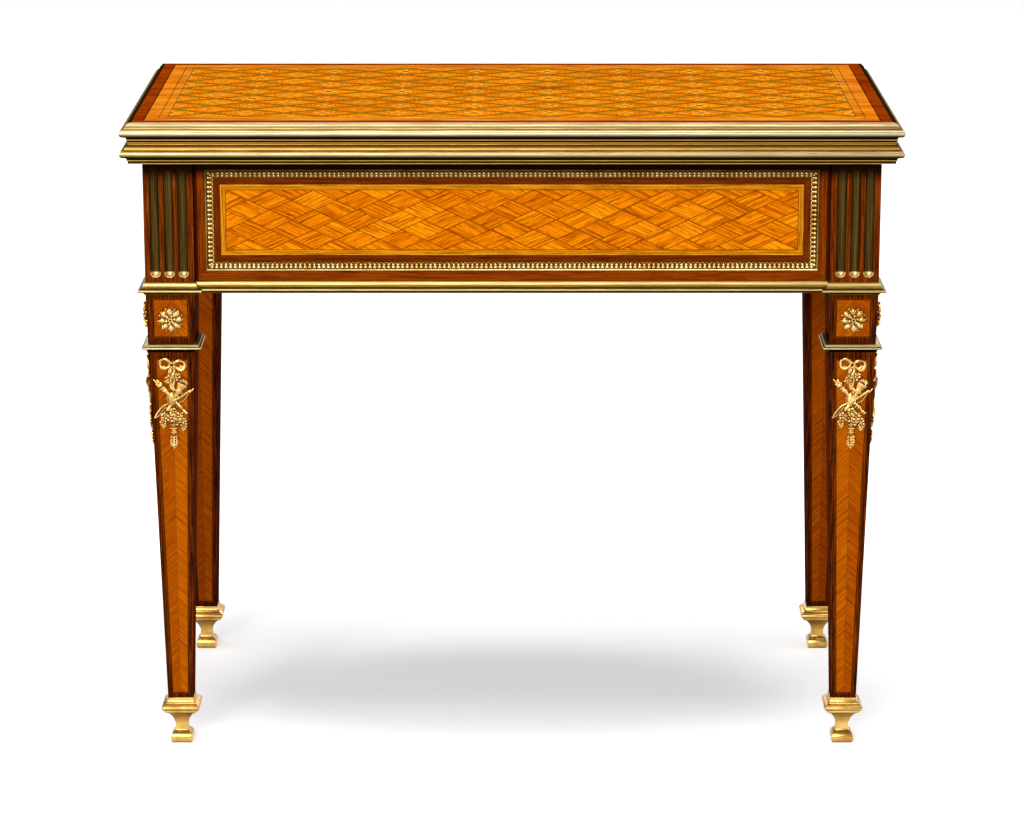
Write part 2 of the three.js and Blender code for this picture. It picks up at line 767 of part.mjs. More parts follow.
// The three mitred brass edges of a leaf, in the same place as the leaf.
function edgeShapes(outline) {
  const half = boardWidth / 2 + seatGap;
  const front = -boardDepth - seatGap;
  const ease = seatGap / 2;
  const ghost = topDepth;
  return {
    front: mouldingRun(outline, [
      [-half + ease, front + ghost],
      [-half + ease, front],
      [half - ease, front],
      [half - ease, front + ghost],
    ]),
    right: mouldingRun(outline, [
      [half - ghost, front + ease],
      [half, front + ease],
      [half, 0],
      [half, ghost],
    ]),
    left: mouldingRun(outline, [
      [-half, ghost],
      [-half, 0],
      [-half, front + ease],
      [-half + ghost, front + ease],
    ]),
  };
}

function addLeafPieces(group, prefix, edge, cutters) {
  place(group, `${prefix}_leaf`, leafSolid(cutters), veneer);
  place(group, `${prefix}_baize`, baizeShape(), cloth);
  for (const [side, shape] of Object.entries(edgeShapes(edge))) {
    place(group, `${prefix}_edge_${side}`, shape, brass);
  }
}

// Swivel fitting under the lower leaf, in the frame's place.
function swivelPlateSpan(grow) {
  const angle = THREE.MathUtils.degToRad(pegStart);
  const shift = pegRadius / 2;
  const top = lowerLeafZ + swivelPlateThickness + grow;
  return boxBetween(
    [-swivelPlateLength / 2 - grow, -swivelPlateWidth / 2 - grow, lowerLeafZ - (grow > 0 ? cutOverrun : 0)],
    [swivelPlateLength / 2 + grow, swivelPlateWidth / 2 + grow, top],
  )
    .rotateZ(angle)
    .translate(pivotX + shift * Math.cos(angle), pivotY + shift * Math.sin(angle), 0);
}

function addTop() {
  const recess = swivelPlateSpan(seatGap).translate(0, -hingeEdgeY, -lowerLeafZ);
  const lower = new THREE.Group();
  lower.position.set(0, hingeEdgeY, lowerLeafZ);
  addLeafPieces(lower, "lower", edgeOutline(), [recess]);
  lowerTop.add(lower);
  // The upper leaf lies face down on the lower one, and its brass edges slope the same way.
  const upper = new THREE.Group();
  upper.position.set(0, hingeEdgeY, upperLeafZ + leafThickness);
  addLeafPieces(upper, "upper", upsideDown(edgeOutline()), []);
  for (const mesh of [...upper.children]) mirrorDown(mesh);
  upperTop.add(upper);
}

// Turns a leaf piece face down, keeping its front at the front and its left at the left.
function mirrorDown(mesh) {
  mesh.geometry = mesh.geometry.clone().scale(1, 1, -1);
  const flipped = mesh.geometry.index ? mesh.geometry.toNonIndexed() : mesh.geometry;
  const places = flipped.getAttribute("position").array;
  for (let i = 0; i < places.length; i += 9) {
    for (let axis = 0; axis < 3; axis += 1) {
      const kept = places[i + 3 + axis];
      places[i + 3 + axis] = places[i + 6 + axis];
      places[i + 6 + axis] = kept;
    }
  }
  flipped.computeVertexNormals();
  mesh.geometry = flipped;
}

// Hinge plates and pins, made about the hinge axis with the lower plate below it.
function hingePlate(lower) {
  const half = hingeLength / 2;
  const centre = knuckleCentreLength / 2;
  const faceDrop = seatGap / 2;
  const low = -faceDrop - hingePlateThickness;
  const edge = -hingeAxisOut;
  const room = knuckleRadius + seatGap;
  const knuckles = lower ? [[-half, -centre - seatGap], [centre + seatGap, half]] : [[-centre, centre]];
  const gaps = lower ? [[-centre - seatGap, centre + seatGap]] : [[-half, -centre], [centre, half]];
  const plate = boxBetween([-half, edge - hingePlateWidth, low], [half, edge, -faceDrop]);
  const barrels = knuckles.map(([from, to]) => rodAlongX(knuckleRadius, from, to, 0, 0));
  const cuts = gaps.map(([from, to]) => {
    const start = from === -half ? from - cutOverrun : from;
    const end = to === half ? to + cutOverrun : to;
    return boxBetween([start, -room, -room], [end, room, room]);
  });
  const bare = cutBy(solidOf(plate), cuts);
  const body = barrels.map(solidOf).reduce((sum, barrel) => sum.add(barrel), bare);
  const bore = rodAlongX(hingeBoreRadius, -half - cutOverrun, half + cutOverrun, 0, 0);
  const shape = geometryOf(cutBy(body, [bore]));
  return lower ? shape : turnedOver(shape);
}

// Mirrors a shape through the hinge axis plane.
function turnedOver(shape) {
  const holder = new THREE.Mesh(shape);
  mirrorDown(holder);
  return holder.geometry;
}

function addHinges() {
  for (const [name, side] of [["left", -1], ["right", 1]]) {
    const x = side * (boardWidth / 2 - hingeInset);
    const lower = place(lowerTop, `hinge_plate_lower_${name}`, hingePlate(true), brass);
    const upper = place(upperTop, `hinge_plate_upper_${name}`, hingePlate(false), brass);
    const pin = place(
      lowerTop,
      `hinge_pin_${name}`,
      rodAlongX(hingePinRadius, -hingeLength / 2, hingeLength / 2, 0, 0, roundSides / 2),
      steel,
    );
    for (const mesh of [lower, upper, pin]) mesh.position.set(x, hingeAxisY, hingeAxisZ);
  }
}

function addSwivel() {
  const boardLow = frameTopZ - boardDrop - boardThickness;
  const nutTop = boardLow - seatGap;
  const nutLow = nutTop - nutFlangeThickness - nutHeight;
  const angle = THREE.MathUtils.degToRad(pegStart);
  const pegX = pivotX + pegRadius * Math.cos(angle);
  const pegY = pivotY + pegRadius * Math.sin(angle);
  const into = lowerLeafZ + swivelPlateThickness / 2; // both rods end inside the plate
  const fitting = joined([
    swivelPlateSpan(0),
    rod(pivotDiameter / 2, nutLow - pivotTail, into, pivotX, pivotY),
    rod(pegDiameter / 2, boardLow + boardThickness / 4, into, pegX, pegY),
  ]);
  place(lowerTop, "swivel_plate", fitting, steel);
  const hexRadius = nutWidth / Math.sqrt(3);
  const boreRadius = pivotDiameter / 2 + pivotClearance;
  const nut = joined([
    rod(hexRadius, nutLow, nutTop - nutFlangeThickness / 2, pivotX, pivotY, 6),
    rod(nutFlangeDiameter / 2, nutTop - nutFlangeThickness, nutTop, pivotX, pivotY),
  ]);
  const bore = rod(boreRadius, nutLow - cutOverrun, nutTop + cutOverrun, pivotX, pivotY);
  place(lowerTop, "swivel_nut", cutBy(nut, [bore]), steel);
}

// Beaded frame: a raised outer band and a half-round course on a flat ground inside it,
// standing on the frieze.
function addBeadedFrames() {
  const shape = new THREE.Shape();
  const groove = beadFrameWidth - beadFrameBand;
  shape.moveTo(0, 0);
  shape.lineTo(0, beadFrameGround);
  const course = groove - beadFrameBeadRadius;
  for (const [x, y] of arcPoints(course, beadFrameGround, beadFrameBeadRadius, 180, 0)) {
    shape.lineTo(x, y);
  }
  shape.lineTo(groove, beadFrameBandHeight);
  shape.lineTo(beadFrameWidth, beadFrameBandHeight);
  shape.lineTo(beadFrameWidth, 0);
  const outline = outlinePoints(shape);
  const low = frameMouldingTopZ + beadFrameFootMargin;
  const high = frameTopZ - beadFrameTopMargin;
  const halfHeight = (high - low) / 2 - beadFrameWidth;
  const ring = (span) => {
    const halfWidth = span / 2 - beadFrameSideMargin - beadFrameWidth;
    const run = mouldingRun(outline, rectanglePath(halfWidth, halfHeight), true);
    return run.rotateX(Math.PI / 2).translate(0, -seatGap, (low + high) / 2);
  };
  const sides = [
    ["beaded_frame_front", railSpanX, [0, frameFrontY + railRecess], 0],
    ["beaded_frame_left", railSpanY, [railRecess - frameWidth / 2, frameCentreY], -Math.PI / 2],
    ["beaded_frame_right", railSpanY, [frameWidth / 2 - railRecess, frameCentreY], Math.PI / 2],
  ];
  for (const [name, span, [x, y], turn] of sides) {
    const ringMesh = place(frame, name, ring(span), gilt);
    ringMesh.position.set(x, y, 0);
    ringMesh.rotation.z = turn;
  }
}

// Rosette: two rings of pointed petals round a boss, as a relief over a polar grid.
function rosetteShape() {
  const steps = rosettePetals * 2;
  const petal = (i) => (i % 2 === 0 ? 1 : 0);
  const rise = (share, i) => {
    const reach = share / rosetteInnerShare;
    if (reach < 1) return 1 - (reach / 2) * (petal(i + 1) === 1 ? reach : 1);
    return petal(i) === 1 ? (2 - reach) * rosetteInnerShare : rosetteNotchShare;
  };
  const places = [0, 0, rosetteRelief];
  for (const share of rosetteRingShares) {
    for (let i = 0; i < steps; i += 1) {
      const angle = (2 * Math.PI * i) / steps;
      const rim = share === 1;
      const reach = rim && petal(i) === 0 ? share - rosetteNotchShare : share;
      const height = rim ? rosetteEdge : rosetteEdge + (rosetteRelief - rosetteEdge) * rise(share, i);
      places.push(rosetteRadius * reach * Math.cos(angle), rosetteRadius * reach * Math.sin(angle), height);
    }
  }
  const foot = places.length / 3;
  for (let i = 0; i < steps; i += 1) {
    const above = (foot - steps + i) * 3;
    places.push(places[above], places[above + 1], 0);
  }
  const back = places.length / 3;
  places.push(0, 0, 0);
  const faces = [];
  for (let i = 0; i < steps; i += 1) {
    const next = (i + 1) % steps;
    faces.push(0, 1 + i, 1 + next);
    for (let ring = 0; ring < rosetteRingShares.length; ring += 1) {
      const near = 1 + ring * steps;
      const far = near + steps;
      faces.push(near + i, far + i, far + next, near + i, far + next, near + next);
    }
    faces.push(back, foot + next, foot + i);
  }
  const geometry = new THREE.BufferGeometry();
  geometry.setAttribute("position", new THREE.Float32BufferAttribute(places, 3));
  geometry.setIndex(faces);
  return geometry;
}

// Round forms of the trophy, from the knot of the ribbon down: across, up and radius
const trophyBallShares = [
  [0, 0, 0.034],
  [-0.034, -0.16, 0.036],
  [0.05, -0.13, 0.036],
  [0.105, -0.215, 0.052],
  [-0.14, -0.235, 0.042],
  [0.135, -0.545, 0.03],
  [0, -0.585, 0.075],
  [-0.07, -0.635, 0.046],
  [0.07, -0.635, 0.046],
  [0, -0.84, 0.052],
];

// Long forms of the trophy: across and up of both ends, and the radius at each
const trophyStemShares = [
  [0, 0, -0.006, -0.585, 0.024, 0.034], // ribbon and stalks
  [-0.14, -0.235, 0.135, -0.545, 0.036, 0.02], // torch
  [-0.14, -0.235, -0.196, -0.165, 0.034, 0.006], // flame
  [0.105, -0.215, -0.07, -0.53, 0.036, 0.028], // quiver
  [-0.07, -0.635, -0.11, -0.71, 0.036, 0.005], // leaf
  [0.07, -0.635, 0.105, -0.73, 0.036, 0.005], // leaf
  [0, -0.585, 0, -0.76, 0.024, 0.036], // vase
  [0, -0.76, 0.008, -0.935, 0.03, 0.004], // drop
];

// Loops of the ribbon: across, up and radius
const trophyLoopShares = [
  [-0.08, 0.007, 0.046],
  [0.088, -0.01, 0.052],
];
const trophyLoopThickShare = 0.015;

// Archery bow, from its upper end to its lower one: across and up
const trophyBowShares = [
  [0.226, -0.28],
  [0.165, -0.32],
  [0.07, -0.365],
  [-0.06, -0.442],
  [-0.14, -0.515],
  [-0.206, -0.61],
];
const trophyBowThickShare = 0.013;

function trophyStem([fromX, fromY, toX, toY, fromRadius, toRadius]) {
  const from = new THREE.Vector3(fromX, fromY, 0);
  const along = new THREE.Vector3(toX, toY, 0).sub(from);
  const body = new THREE.CylinderGeometry(toRadius, fromRadius, along.length(), stemSides);
  const turn = new THREE.Quaternion().setFromUnitVectors(
    new THREE.Vector3(0, 1, 0),
    along.clone().normalize(),
  );
  const middle = from.addScaledVector(along, 1 / 2);
  return body.applyQuaternion(turn).translate(middle.x, middle.y, 0);
}

function trophySolid() {
  const pieces = trophyStemShares.map(trophyStem);
  for (const [x, y, radius] of trophyBallShares) {
    pieces.push(new THREE.SphereGeometry(radius, ballSides, ballRows).translate(x, y, 0));
  }
  for (const [x, y, radius] of trophyLoopShares) {
    const loop = new THREE.TorusGeometry(radius, trophyLoopThickShare, stemSides, loopSides);
    pieces.push(loop.translate(x, y, 0));
  }
  const bow = new THREE.CatmullRomCurve3(trophyBowShares.map(([x, y]) => new THREE.Vector3(x, y, 0)));
  const section = new THREE.Shape();
  section.absarc(0, 0, trophyBowThickShare, 0, 2 * Math.PI);
  const bowSteps = { steps: trophyBowShares.length, curveSegments: stemSides / 2 };
  pieces.push(new THREE.ExtrudeGeometry(section, { extrudePath: bow, ...bowSteps }));
  const relief = trophyHeight * trophyFlatShare;
  for (const piece of pieces) {
    piece.scale(trophyHeight, trophyHeight, relief);
  }
  const reach = 2 * trophyHeight;
  return cutBy(joined(pieces), [boxBetween([-reach, -reach, -reach], [reach, reach, 0])]);
}

// Rosettes and trophies on the outer faces that show: front and sides.
function addMounts() {
  const dieZ = (collarTopZ + frameFootZ) / 2;
  const trophyZ = collarFootZ - trophyTopMargin - trophyHeight * trophyKnotShare;
  const tilt = Math.PI / 2 + Math.atan(taperSlope);
  const rosette = rosetteShape();
  const trophy = geometryOf(trophySolid());
  for (const corner of corners) {
    const [x, y] = legCentre(corner);
    const faces = [{ name: "side", turn: (corner.sideX * Math.PI) / 2 }];
    if (corner.sideY < 0) faces.push({ name: "front", turn: 0 });
    for (const face of faces) {
      const stand = new THREE.Group();
      stand.position.set(x, y, 0);
      stand.rotation.z = face.turn;
      frame.add(stand);
      const flower = place(stand, `rosette_${corner.name}_${face.name}`, rosette.clone(), gilt);
      flower.position.set(0, -taperHalfAt(dieZ) - seatGap, dieZ);
      flower.rotation.x = tilt;
      const hung = place(stand, `trophy_${corner.name}_${face.name}`, trophy.clone(), gilt);
      hung.position.set(0, -taperHalfAt(trophyZ) - seatGap, trophyZ);
      hung.rotation.x = tilt;
    }
  }
}

addLegs();
addRails();
addFrameMouldings();
addCarcase();
addTop();
addHinges();
addSwivel();
addBeadedFrames();
addMounts();

export default parts;
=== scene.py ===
import math
import random

import bmesh
import bpy
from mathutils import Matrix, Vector


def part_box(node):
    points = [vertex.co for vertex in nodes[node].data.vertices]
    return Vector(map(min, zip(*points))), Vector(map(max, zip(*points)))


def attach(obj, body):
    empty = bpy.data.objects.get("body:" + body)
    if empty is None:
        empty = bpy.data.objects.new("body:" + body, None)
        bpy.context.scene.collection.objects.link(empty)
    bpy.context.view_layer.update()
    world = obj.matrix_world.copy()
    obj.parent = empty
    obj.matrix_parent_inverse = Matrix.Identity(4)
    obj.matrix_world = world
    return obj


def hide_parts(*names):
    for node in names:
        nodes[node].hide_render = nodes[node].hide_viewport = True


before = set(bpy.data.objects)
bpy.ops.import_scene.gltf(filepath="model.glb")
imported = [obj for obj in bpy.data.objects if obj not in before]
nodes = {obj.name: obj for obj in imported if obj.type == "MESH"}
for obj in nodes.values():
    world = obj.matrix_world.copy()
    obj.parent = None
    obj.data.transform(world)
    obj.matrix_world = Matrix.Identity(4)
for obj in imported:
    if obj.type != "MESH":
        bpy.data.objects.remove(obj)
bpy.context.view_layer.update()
scene = bpy.context.scene
print("frame loaded:", len(nodes), "nodes")


# small tools
def rgb(code):
    # sRGB hex to linear colour
    parts = [int(code[i : i + 2], 16) / 255 for i in (0, 2, 4)]
    return [p / 12.92 if p <= 0.04045 else ((p + 0.055) / 1.055) ** 2.4 for p in parts] + [1]


def addNode(tree, kind, *inputs, out=0, stops=None, **settings):
    # adds one node with its settings; an input is a socket to link or a value to set, in the node's
    # order or as a (name or number, value) pair; gives back the output asked for, or each of several
    node = tree.nodes.new(kind if "Node" in kind else "ShaderNode" + kind)
    for key, value in settings.items():
        setattr(node, key, value)
    for place, value in enumerate(inputs):
        if isinstance(value, tuple) and len(value) == 2:
            place, value = value
        if isinstance(value, bpy.types.NodeSocket):
            tree.links.new(value, node.inputs[place])
        else:
            node.inputs[place].default_value = value
    if stops:
        ramp = node.color_ramp
        while len(ramp.elements) < len(stops):
            ramp.elements.new(1)
        for element, (spot, code) in zip(ramp.elements, stops):
            element.position = spot
            element.color = rgb(code)
    if isinstance(out, tuple):
        return [node.outputs[place] for place in out]
    return node.outputs[out]


def newMaterial(name):
    material = bpy.data.materials.new(name)
    material.use_nodes = True
    tree = material.node_tree
    tree.nodes.clear()
    return material, tree


def showSurface(tree, surface):
    output = tree.nodes.new("ShaderNodeOutputMaterial")
    tree.links.new(surface, output.inputs["Surface"])


def makePiece(name, points, faces, material, sharp=32):
    # points in mm, in the frame's place; the mesh is in metres
    mesh = bpy.data.meshes.new(name)
    mesh.from_pydata([(x / 1000, y / 1000, z / 1000) for x, y, z in points], [], faces)
    shape = bmesh.new()
    shape.from_mesh(mesh)
    bmesh.ops.remove_doubles(shape, verts=shape.verts, dist=1e-6)
    bmesh.ops.recalc_face_normals(shape, faces=shape.faces)
    shape.to_mesh(mesh)
    shape.free()
    mesh.shade_smooth()
    mesh.set_sharp_from_angle(angle=math.radians(sharp))
    mesh.materials.append(material)
    piece = bpy.data.objects.new(name, mesh)
    scene.collection.objects.link(piece)
    return piece


def settle(piece, body, slotName, *replaced):
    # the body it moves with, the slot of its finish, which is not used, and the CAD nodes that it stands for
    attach(piece, body)
    if replaced:
        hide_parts(*replaced)
    return piece


def boxOf(node):
    # lowest and highest corner in mm
    low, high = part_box(node)
    return low * 1000, high * 1000


def direction(degrees):
    return math.cos(math.radians(degrees)), math.sin(math.radians(degrees))


def arc(x, y, radius, start, end, steps=8):
    turn = [math.radians(start + (end - start) * i / steps) for i in range(steps + 1)]
    return [(x + radius * math.cos(a), y + radius * math.sin(a)) for a in turn]


def bend(start, middle, end, steps=7):
    # points of a quadratic curve
    line = []
    for i in range(steps + 1):
        t = i / steps
        line.append(tuple(
            (1 - t) ** 2 * a + 2 * t * (1 - t) * b + t * t * c for a, b, c in zip(start, middle, end)
        ))
    return line


def sweep(profile, path, closed=False):
    # runs a profile (out, up) along a plan path with mitred corners, the outer side on the right;
    # an open path starts and ends with a point that only sets the angle of the cut
    count = len(path)

    def normal(a, b):
        length = math.hypot(b[0] - a[0], b[1] - a[1])
        return ((b[1] - a[1]) / length, (a[0] - b[0]) / length)

    stations = range(count) if closed else range(1, count - 1)
    points = []
    for i in stations:
        before = normal(path[i - 1], path[i])
        after = normal(path[i], path[(i + 1) % count])
        share = 1 + before[0] * after[0] + before[1] * after[1]
        outX, outY = (before[0] + after[0]) / share, (before[1] + after[1]) / share
        points += [(path[i][0] + o * outX, path[i][1] + o * outY, up) for o, up in profile]
    rows = len(profile)
    runs = len(stations)
    faces = []
    for run in range(runs if closed else runs - 1):
        near, far = run * rows, (run + 1) % runs * rows
        for j in range(rows):
            k = (j + 1) % rows
            faces.append((near + j, far + j, far + k, near + k))
    if not closed:
        last = (runs - 1) * rows
        faces += [tuple(range(rows)), tuple(last + j for j in range(rows))]
    return points, faces


def turned(points, degrees, x=0, y=0, z=0):
    c, s = direction(degrees)
    return [(c * px - s * py + x, s * px + c * py + y, pz + z) for px, py, pz in points]


def geometryTree(name, sockets):
    tree = bpy.data.node_groups.new(name, "GeometryNodeTree")
    tree.interface.new_socket("Geometry", in_out="INPUT", socket_type="NodeSocketGeometry")
    for label, kind in sockets:
        tree.interface.new_socket(label, in_out="INPUT", socket_type="NodeSocket" + kind)
    tree.interface.new_socket("Geometry", in_out="OUTPUT", socket_type="NodeSocketGeometry")
    return tree


def bake(name, tree, values, source=None):
    # runs a Geometry Nodes tree on a mesh and keeps its result as a plain mesh
    holder = bpy.data.objects.new(name + ".maker", source or bpy.data.meshes.new(name + ".seed"))
    scene.collection.objects.link(holder)
    modifier = holder.modifiers.new("maker", "NODES")
    modifier.node_group = tree
    for socket in tree.interface.items_tree:
        if socket.in_out == "INPUT" and socket.name in values:
            modifier[socket.identifier] = values[socket.name]
    graph = bpy.context.evaluated_depsgraph_get()
    mesh = bpy.data.meshes.new_from_object(holder.evaluated_get(graph))
    mesh.name = name
    bpy.data.objects.remove(holder)
    piece = bpy.data.objects.new(name, mesh)
    scene.collection.objects.link(piece)
    return piece


# camera, lamps and floor
stageLook = {
    "cameraPlace": (0.0, -4.3554, 1.4761),
    "cameraPitch": 14.298,
    "lens": 128.58,
    "skyLevel": 0.22,
    "horizonLevel": 1.0,
    "horizonBand": (0.115, 0.16),  # how far up the walls stay pale, as the height of a direction
    "lampAim": (0, 0, 0.5),
    "keyPower": 235,
    "keyPlace": (-1.2, -5.2, 2.5),
    "keySize": (3.2, 1.5),
    "topPower": 50,
    "topPlace": (0.0, -0.35, 2.7),
    "topSize": (2.0, 1.2),
    "fillPower": 60,
    "fillPlace": (0.6, 5.0, 2.4),
    "fillSize": (4.0, 1.6),
    "leftPower": 60,
    "leftPlace": (-4.4, 0.2, 0.6),
    "leftSize": (3.6, 1.0),
    "rightPower": 60,
    "rightPlace": (4.4, 0.2, 0.6),
    "rightSize": (3.6, 1.0),
    "floorHalf": 30000,  # mm
    "floorColor": "F0F1F3",
    "floorGlow": (0.125, 0.27, 0.34),  # everywhere, round the shadow, and far off
    "shadowReach": (0.27, 0.13),  # half size of the floor patch that keeps its full shadow, in metres
    "nearGlow": (0.85, 2.0),  # where the two glows start and are full, in half sizes of that patch
    "farGlow": (2.6, 7.0),
}

camera = bpy.data.objects.new("camera", bpy.data.cameras.new("camera"))
scene.collection.objects.link(camera)
camera.location = stageLook["cameraPlace"]
camera.rotation_euler = (math.radians(90 - stageLook["cameraPitch"]), 0, 0)
camera.data.lens = stageLook["lens"]
camera.data.sensor_width = 36
camera.data.clip_end = 100
scene.camera = camera

for name in ("key", "top", "fill", "left", "right"):
    lamp = bpy.data.objects.new(name + "_softbox", bpy.data.lights.new(name + "_softbox", "AREA"))
    scene.collection.objects.link(lamp)
    lamp.data.shape = "RECTANGLE"
    lamp.data.size, lamp.data.size_y = stageLook[name + "Size"]
    lamp.data.energy = stageLook[name + "Power"]
    lamp.location = stageLook[name + "Place"]
    lamp.visible_camera = False
    aim = Vector(stageLook["lampAim"]) - lamp.location
    lamp.rotation_euler = aim.to_track_quat("-Z", "Y").to_euler()

# studio walls: pale low down, so that low views keep a pale background, and dim above
world = bpy.data.worlds.new("studio")
scene.world = world
world.use_nodes = True
tree = world.node_tree
tree.nodes.clear()
upward = addNode(tree, "SeparateXYZ", addNode(tree, "TexCoord", out="Generated"), out=2)
pale, dim = stageLook["horizonBand"]
level = addNode(
    tree, "MapRange", upward, ("From Min", pale), ("From Max", dim), ("To Min", stageLook["horizonLevel"]),
    ("To Max", stageLook["skyLevel"]), interpolation_type="SMOOTHSTEP",
)
sky = addNode(tree, "Background", [1, 1, 1, 1], level)
output = tree.nodes.new("ShaderNodeOutputWorld")
tree.links.new(sky, output.inputs["Surface"])

# white studio floor: matt paint that keeps the shadow near the table and glows to the camera farther off
floorPaint, tree = newMaterial("studio_floor_matt_paint")
paint = addNode(tree, "BsdfDiffuse", rgb(stageLook["floorColor"]))
seen = addNode(tree, "LightPath", out="Is Camera Ray")
mirrored = addNode(tree, "LightPath", out="Is Glossy Ray")
passed = addNode(tree, "LightPath", out="Is Transmission Ray")
shown = addNode(tree, "Math", mirrored, passed, operation="MAXIMUM")
shown = addNode(tree, "Math", seen, shown, operation="MAXIMUM")
spot = addNode(tree, "TexCoord", out="Object")
reachX, reachY = stageLook["shadowReach"]
spot = addNode(tree, "VectorMath", spot, (1 / reachX, 1 / reachY, 0), operation="MULTIPLY")
away = addNode(tree, "VectorMath", spot, operation="LENGTH", out="Value")
base, near, far = stageLook["floorGlow"]
glows = []
for span, low, high in (("nearGlow", base, base + near), ("farGlow", 0.0, far)):
    start, full = stageLook[span]
    glows.append(addNode(
        tree, "MapRange", away, ("From Min", start), ("From Max", full), ("To Min", low), ("To Max", high),
        interpolation_type="SMOOTHSTEP",
    ))
glowLevel = addNode(tree, "Math", *glows, operation="ADD")
glowLevel = addNode(tree, "Math", glowLevel, shown, operation="MULTIPLY")
glow = addNode(tree, "Emission", [1, 1, 1, 1], glowLevel)
showSurface(tree, addNode(tree, "AddShader", paint, glow))
half = stageLook["floorHalf"]
corners = [(-half, -half, 0), (half, -half, 0), (half, half, 0), (-half, half, 0)]
floor = makePiece("studio_floor", corners, [(0, 1, 2, 3)], floorPaint)
scene.view_settings.view_transform = "Standard"
print("stage ready")


# woods
asColor = {"data_type": "RGBA", "out": 2}
asMultiply = {**asColor, "blend_type": "MULTIPLY"}
asVector = {"data_type": "VECTOR", "out": 1}


def nodeGroup(name, sockets, results):
    tree = bpy.data.node_groups.new(name, "ShaderNodeTree")
    for label, kind in sockets:
        tree.interface.new_socket(label, in_out="INPUT", socket_type="NodeSocket" + kind)
    for label, kind in results:
        tree.interface.new_socket(label, in_out="OUTPUT", socket_type="NodeSocket" + kind)
    return tree, tree.nodes.new("NodeGroupInput").outputs, tree.nodes.new("NodeGroupOutput").inputs


def stretchedNoise(tree, place, perMm, detail, roughness):
    # a cloudy figure; perMm is how often it repeats in a mm along each axis
    place = addNode(tree, "VectorMath", place, perMm, operation="MULTIPLY")
    return addNode(
        tree, "TexNoise", ("Vector", place), ("Scale", 1.0), ("Detail", detail), ("Roughness", roughness)
    )


def pastHalf(tree, value, half, middle=0.0):
    # how far a value lies past half a width from its middle, below zero inside
    value = addNode(tree, "Math", value, middle, operation="SUBTRACT")
    value = addNode(tree, "Math", value, operation="ABSOLUTE")
    return addNode(tree, "Math", value, half, operation="SUBTRACT")


def facesUp(tree):
    # 1 on faces that look up, 0 on the others
    facing = addNode(tree, "SeparateXYZ", addNode(tree, "TexCoord", out="Normal"), out=2)
    return addNode(tree, "Math", facing, 0.5, operation="GREATER_THAN")


def facesSideways(tree, least=0.5):
    # 1 on faces that look to the left or right, 0 on the others
    facing = addNode(tree, "SeparateXYZ", addNode(tree, "TexCoord", out="Normal"))
    facing = addNode(tree, "Math", facing, operation="ABSOLUTE")
    return addNode(tree, "Math", facing, least, operation="GREATER_THAN")


grainLook = {
    "streak": (46.0, 1.7, 20.0),  # mm along the grain, across it and through the sheet
    "pore": (9.0, 0.75, 10.0),  # coarser than real pores, which are too fine to show
    "sheetShift": (173.0, 61.0, 37.0),  # mm between the parts of the log that two seeds are cut from
    "streakTones": [(0.30, "7A5638"), (0.44, "C9AE92"), (0.56, "F6ECDD"), (0.72, "FFFFFF")],
    "poreTones": [(0.32, "8E6A50"), (0.44, "FFFFFF")],
    "poreShare": 0.7,
}

# sliced veneer: streaks and pores that run along X of the vector it is given, in mm
veneer, given, result = nodeGroup(
    "slicedVeneer",
    [("Along", "Vector"), ("Seed", "Float"), ("Color", "Color"), ("Strength", "Float")],
    [("Color", "Color"), ("Height", "Float")],
)
shift = addNode(veneer, "CombineXYZ", given["Seed"], given["Seed"], given["Seed"])
shift = addNode(veneer, "VectorMath", shift, grainLook["sheetShift"], operation="MULTIPLY")
placed = addNode(veneer, "VectorMath", given["Along"], shift, operation="ADD")
streak = stretchedNoise(veneer, placed, [1 / side for side in grainLook["streak"]], 4.0, 0.62)
pore = stretchedNoise(veneer, placed, [1 / side for side in grainLook["pore"]], 2.0, 0.5)
streakTint = addNode(veneer, "ValToRGB", streak, stops=grainLook["streakTones"])
poreTint = addNode(veneer, "ValToRGB", pore, stops=grainLook["poreTones"])
tint = addNode(veneer, "Mix", grainLook["poreShare"], (6, streakTint), (7, poreTint), **asMultiply)
worked = addNode(veneer, "Mix", given["Strength"], (6, given["Color"]), (7, tint), **asMultiply)
veneer.links.new(worked, result["Color"])
veneer.links.new(pore, result["Height"])

# lozenge lattice: cells of a rhombus pattern, with the cell's number, the place in the cell in mm,
# the distance to its nearest side in mm, and whether the cell is an odd one
lattice, given, result = nodeGroup(
    "lozengeLattice",
    [("Place", "Vector"), ("Width", "Float"), ("Height", "Float")],
    [("Cell", "Vector"), ("Local", "Vector"), ("Side", "Float"), ("Odd", "Float")],
)
x, y = addNode(lattice, "SeparateXYZ", given["Place"], out=(0, 1))
acrossShare = addNode(lattice, "Math", x, given["Width"], operation="DIVIDE")
upShare = addNode(lattice, "Math", y, given["Height"], operation="DIVIDE")
rising = addNode(lattice, "Math", acrossShare, upShare, operation="ADD")
falling = addNode(lattice, "Math", acrossShare, upShare, operation="SUBTRACT")
spread = addNode(lattice, "CombineXYZ", rising, falling, 0.0)
cell = addNode(lattice, "VectorMath", spread, operation="FLOOR")
inCell = addNode(lattice, "VectorMath", spread, cell, operation="SUBTRACT")
inCell = addNode(lattice, "VectorMath", inCell, (0.5, 0.5, 0.0), operation="SUBTRACT")
du, dv = addNode(lattice, "SeparateXYZ", inCell, out=(0, 1))
halfWidth = addNode(lattice, "Math", given["Width"], 0.5, operation="MULTIPLY")
halfHeight = addNode(lattice, "Math", given["Height"], 0.5, operation="MULTIPLY")
localX = addNode(lattice, "Math", du, dv, operation="ADD")
localX = addNode(lattice, "Math", localX, halfWidth, operation="MULTIPLY")
localY = addNode(lattice, "Math", du, dv, operation="SUBTRACT")
localY = addNode(lattice, "Math", localY, halfHeight, operation="MULTIPLY")
local = addNode(lattice, "CombineXYZ", localX, localY, 0.0)
flatU, flatV = addNode(
    lattice, "SeparateXYZ", addNode(lattice, "VectorMath", inCell, operation="ABSOLUTE"), out=(0, 1)
)
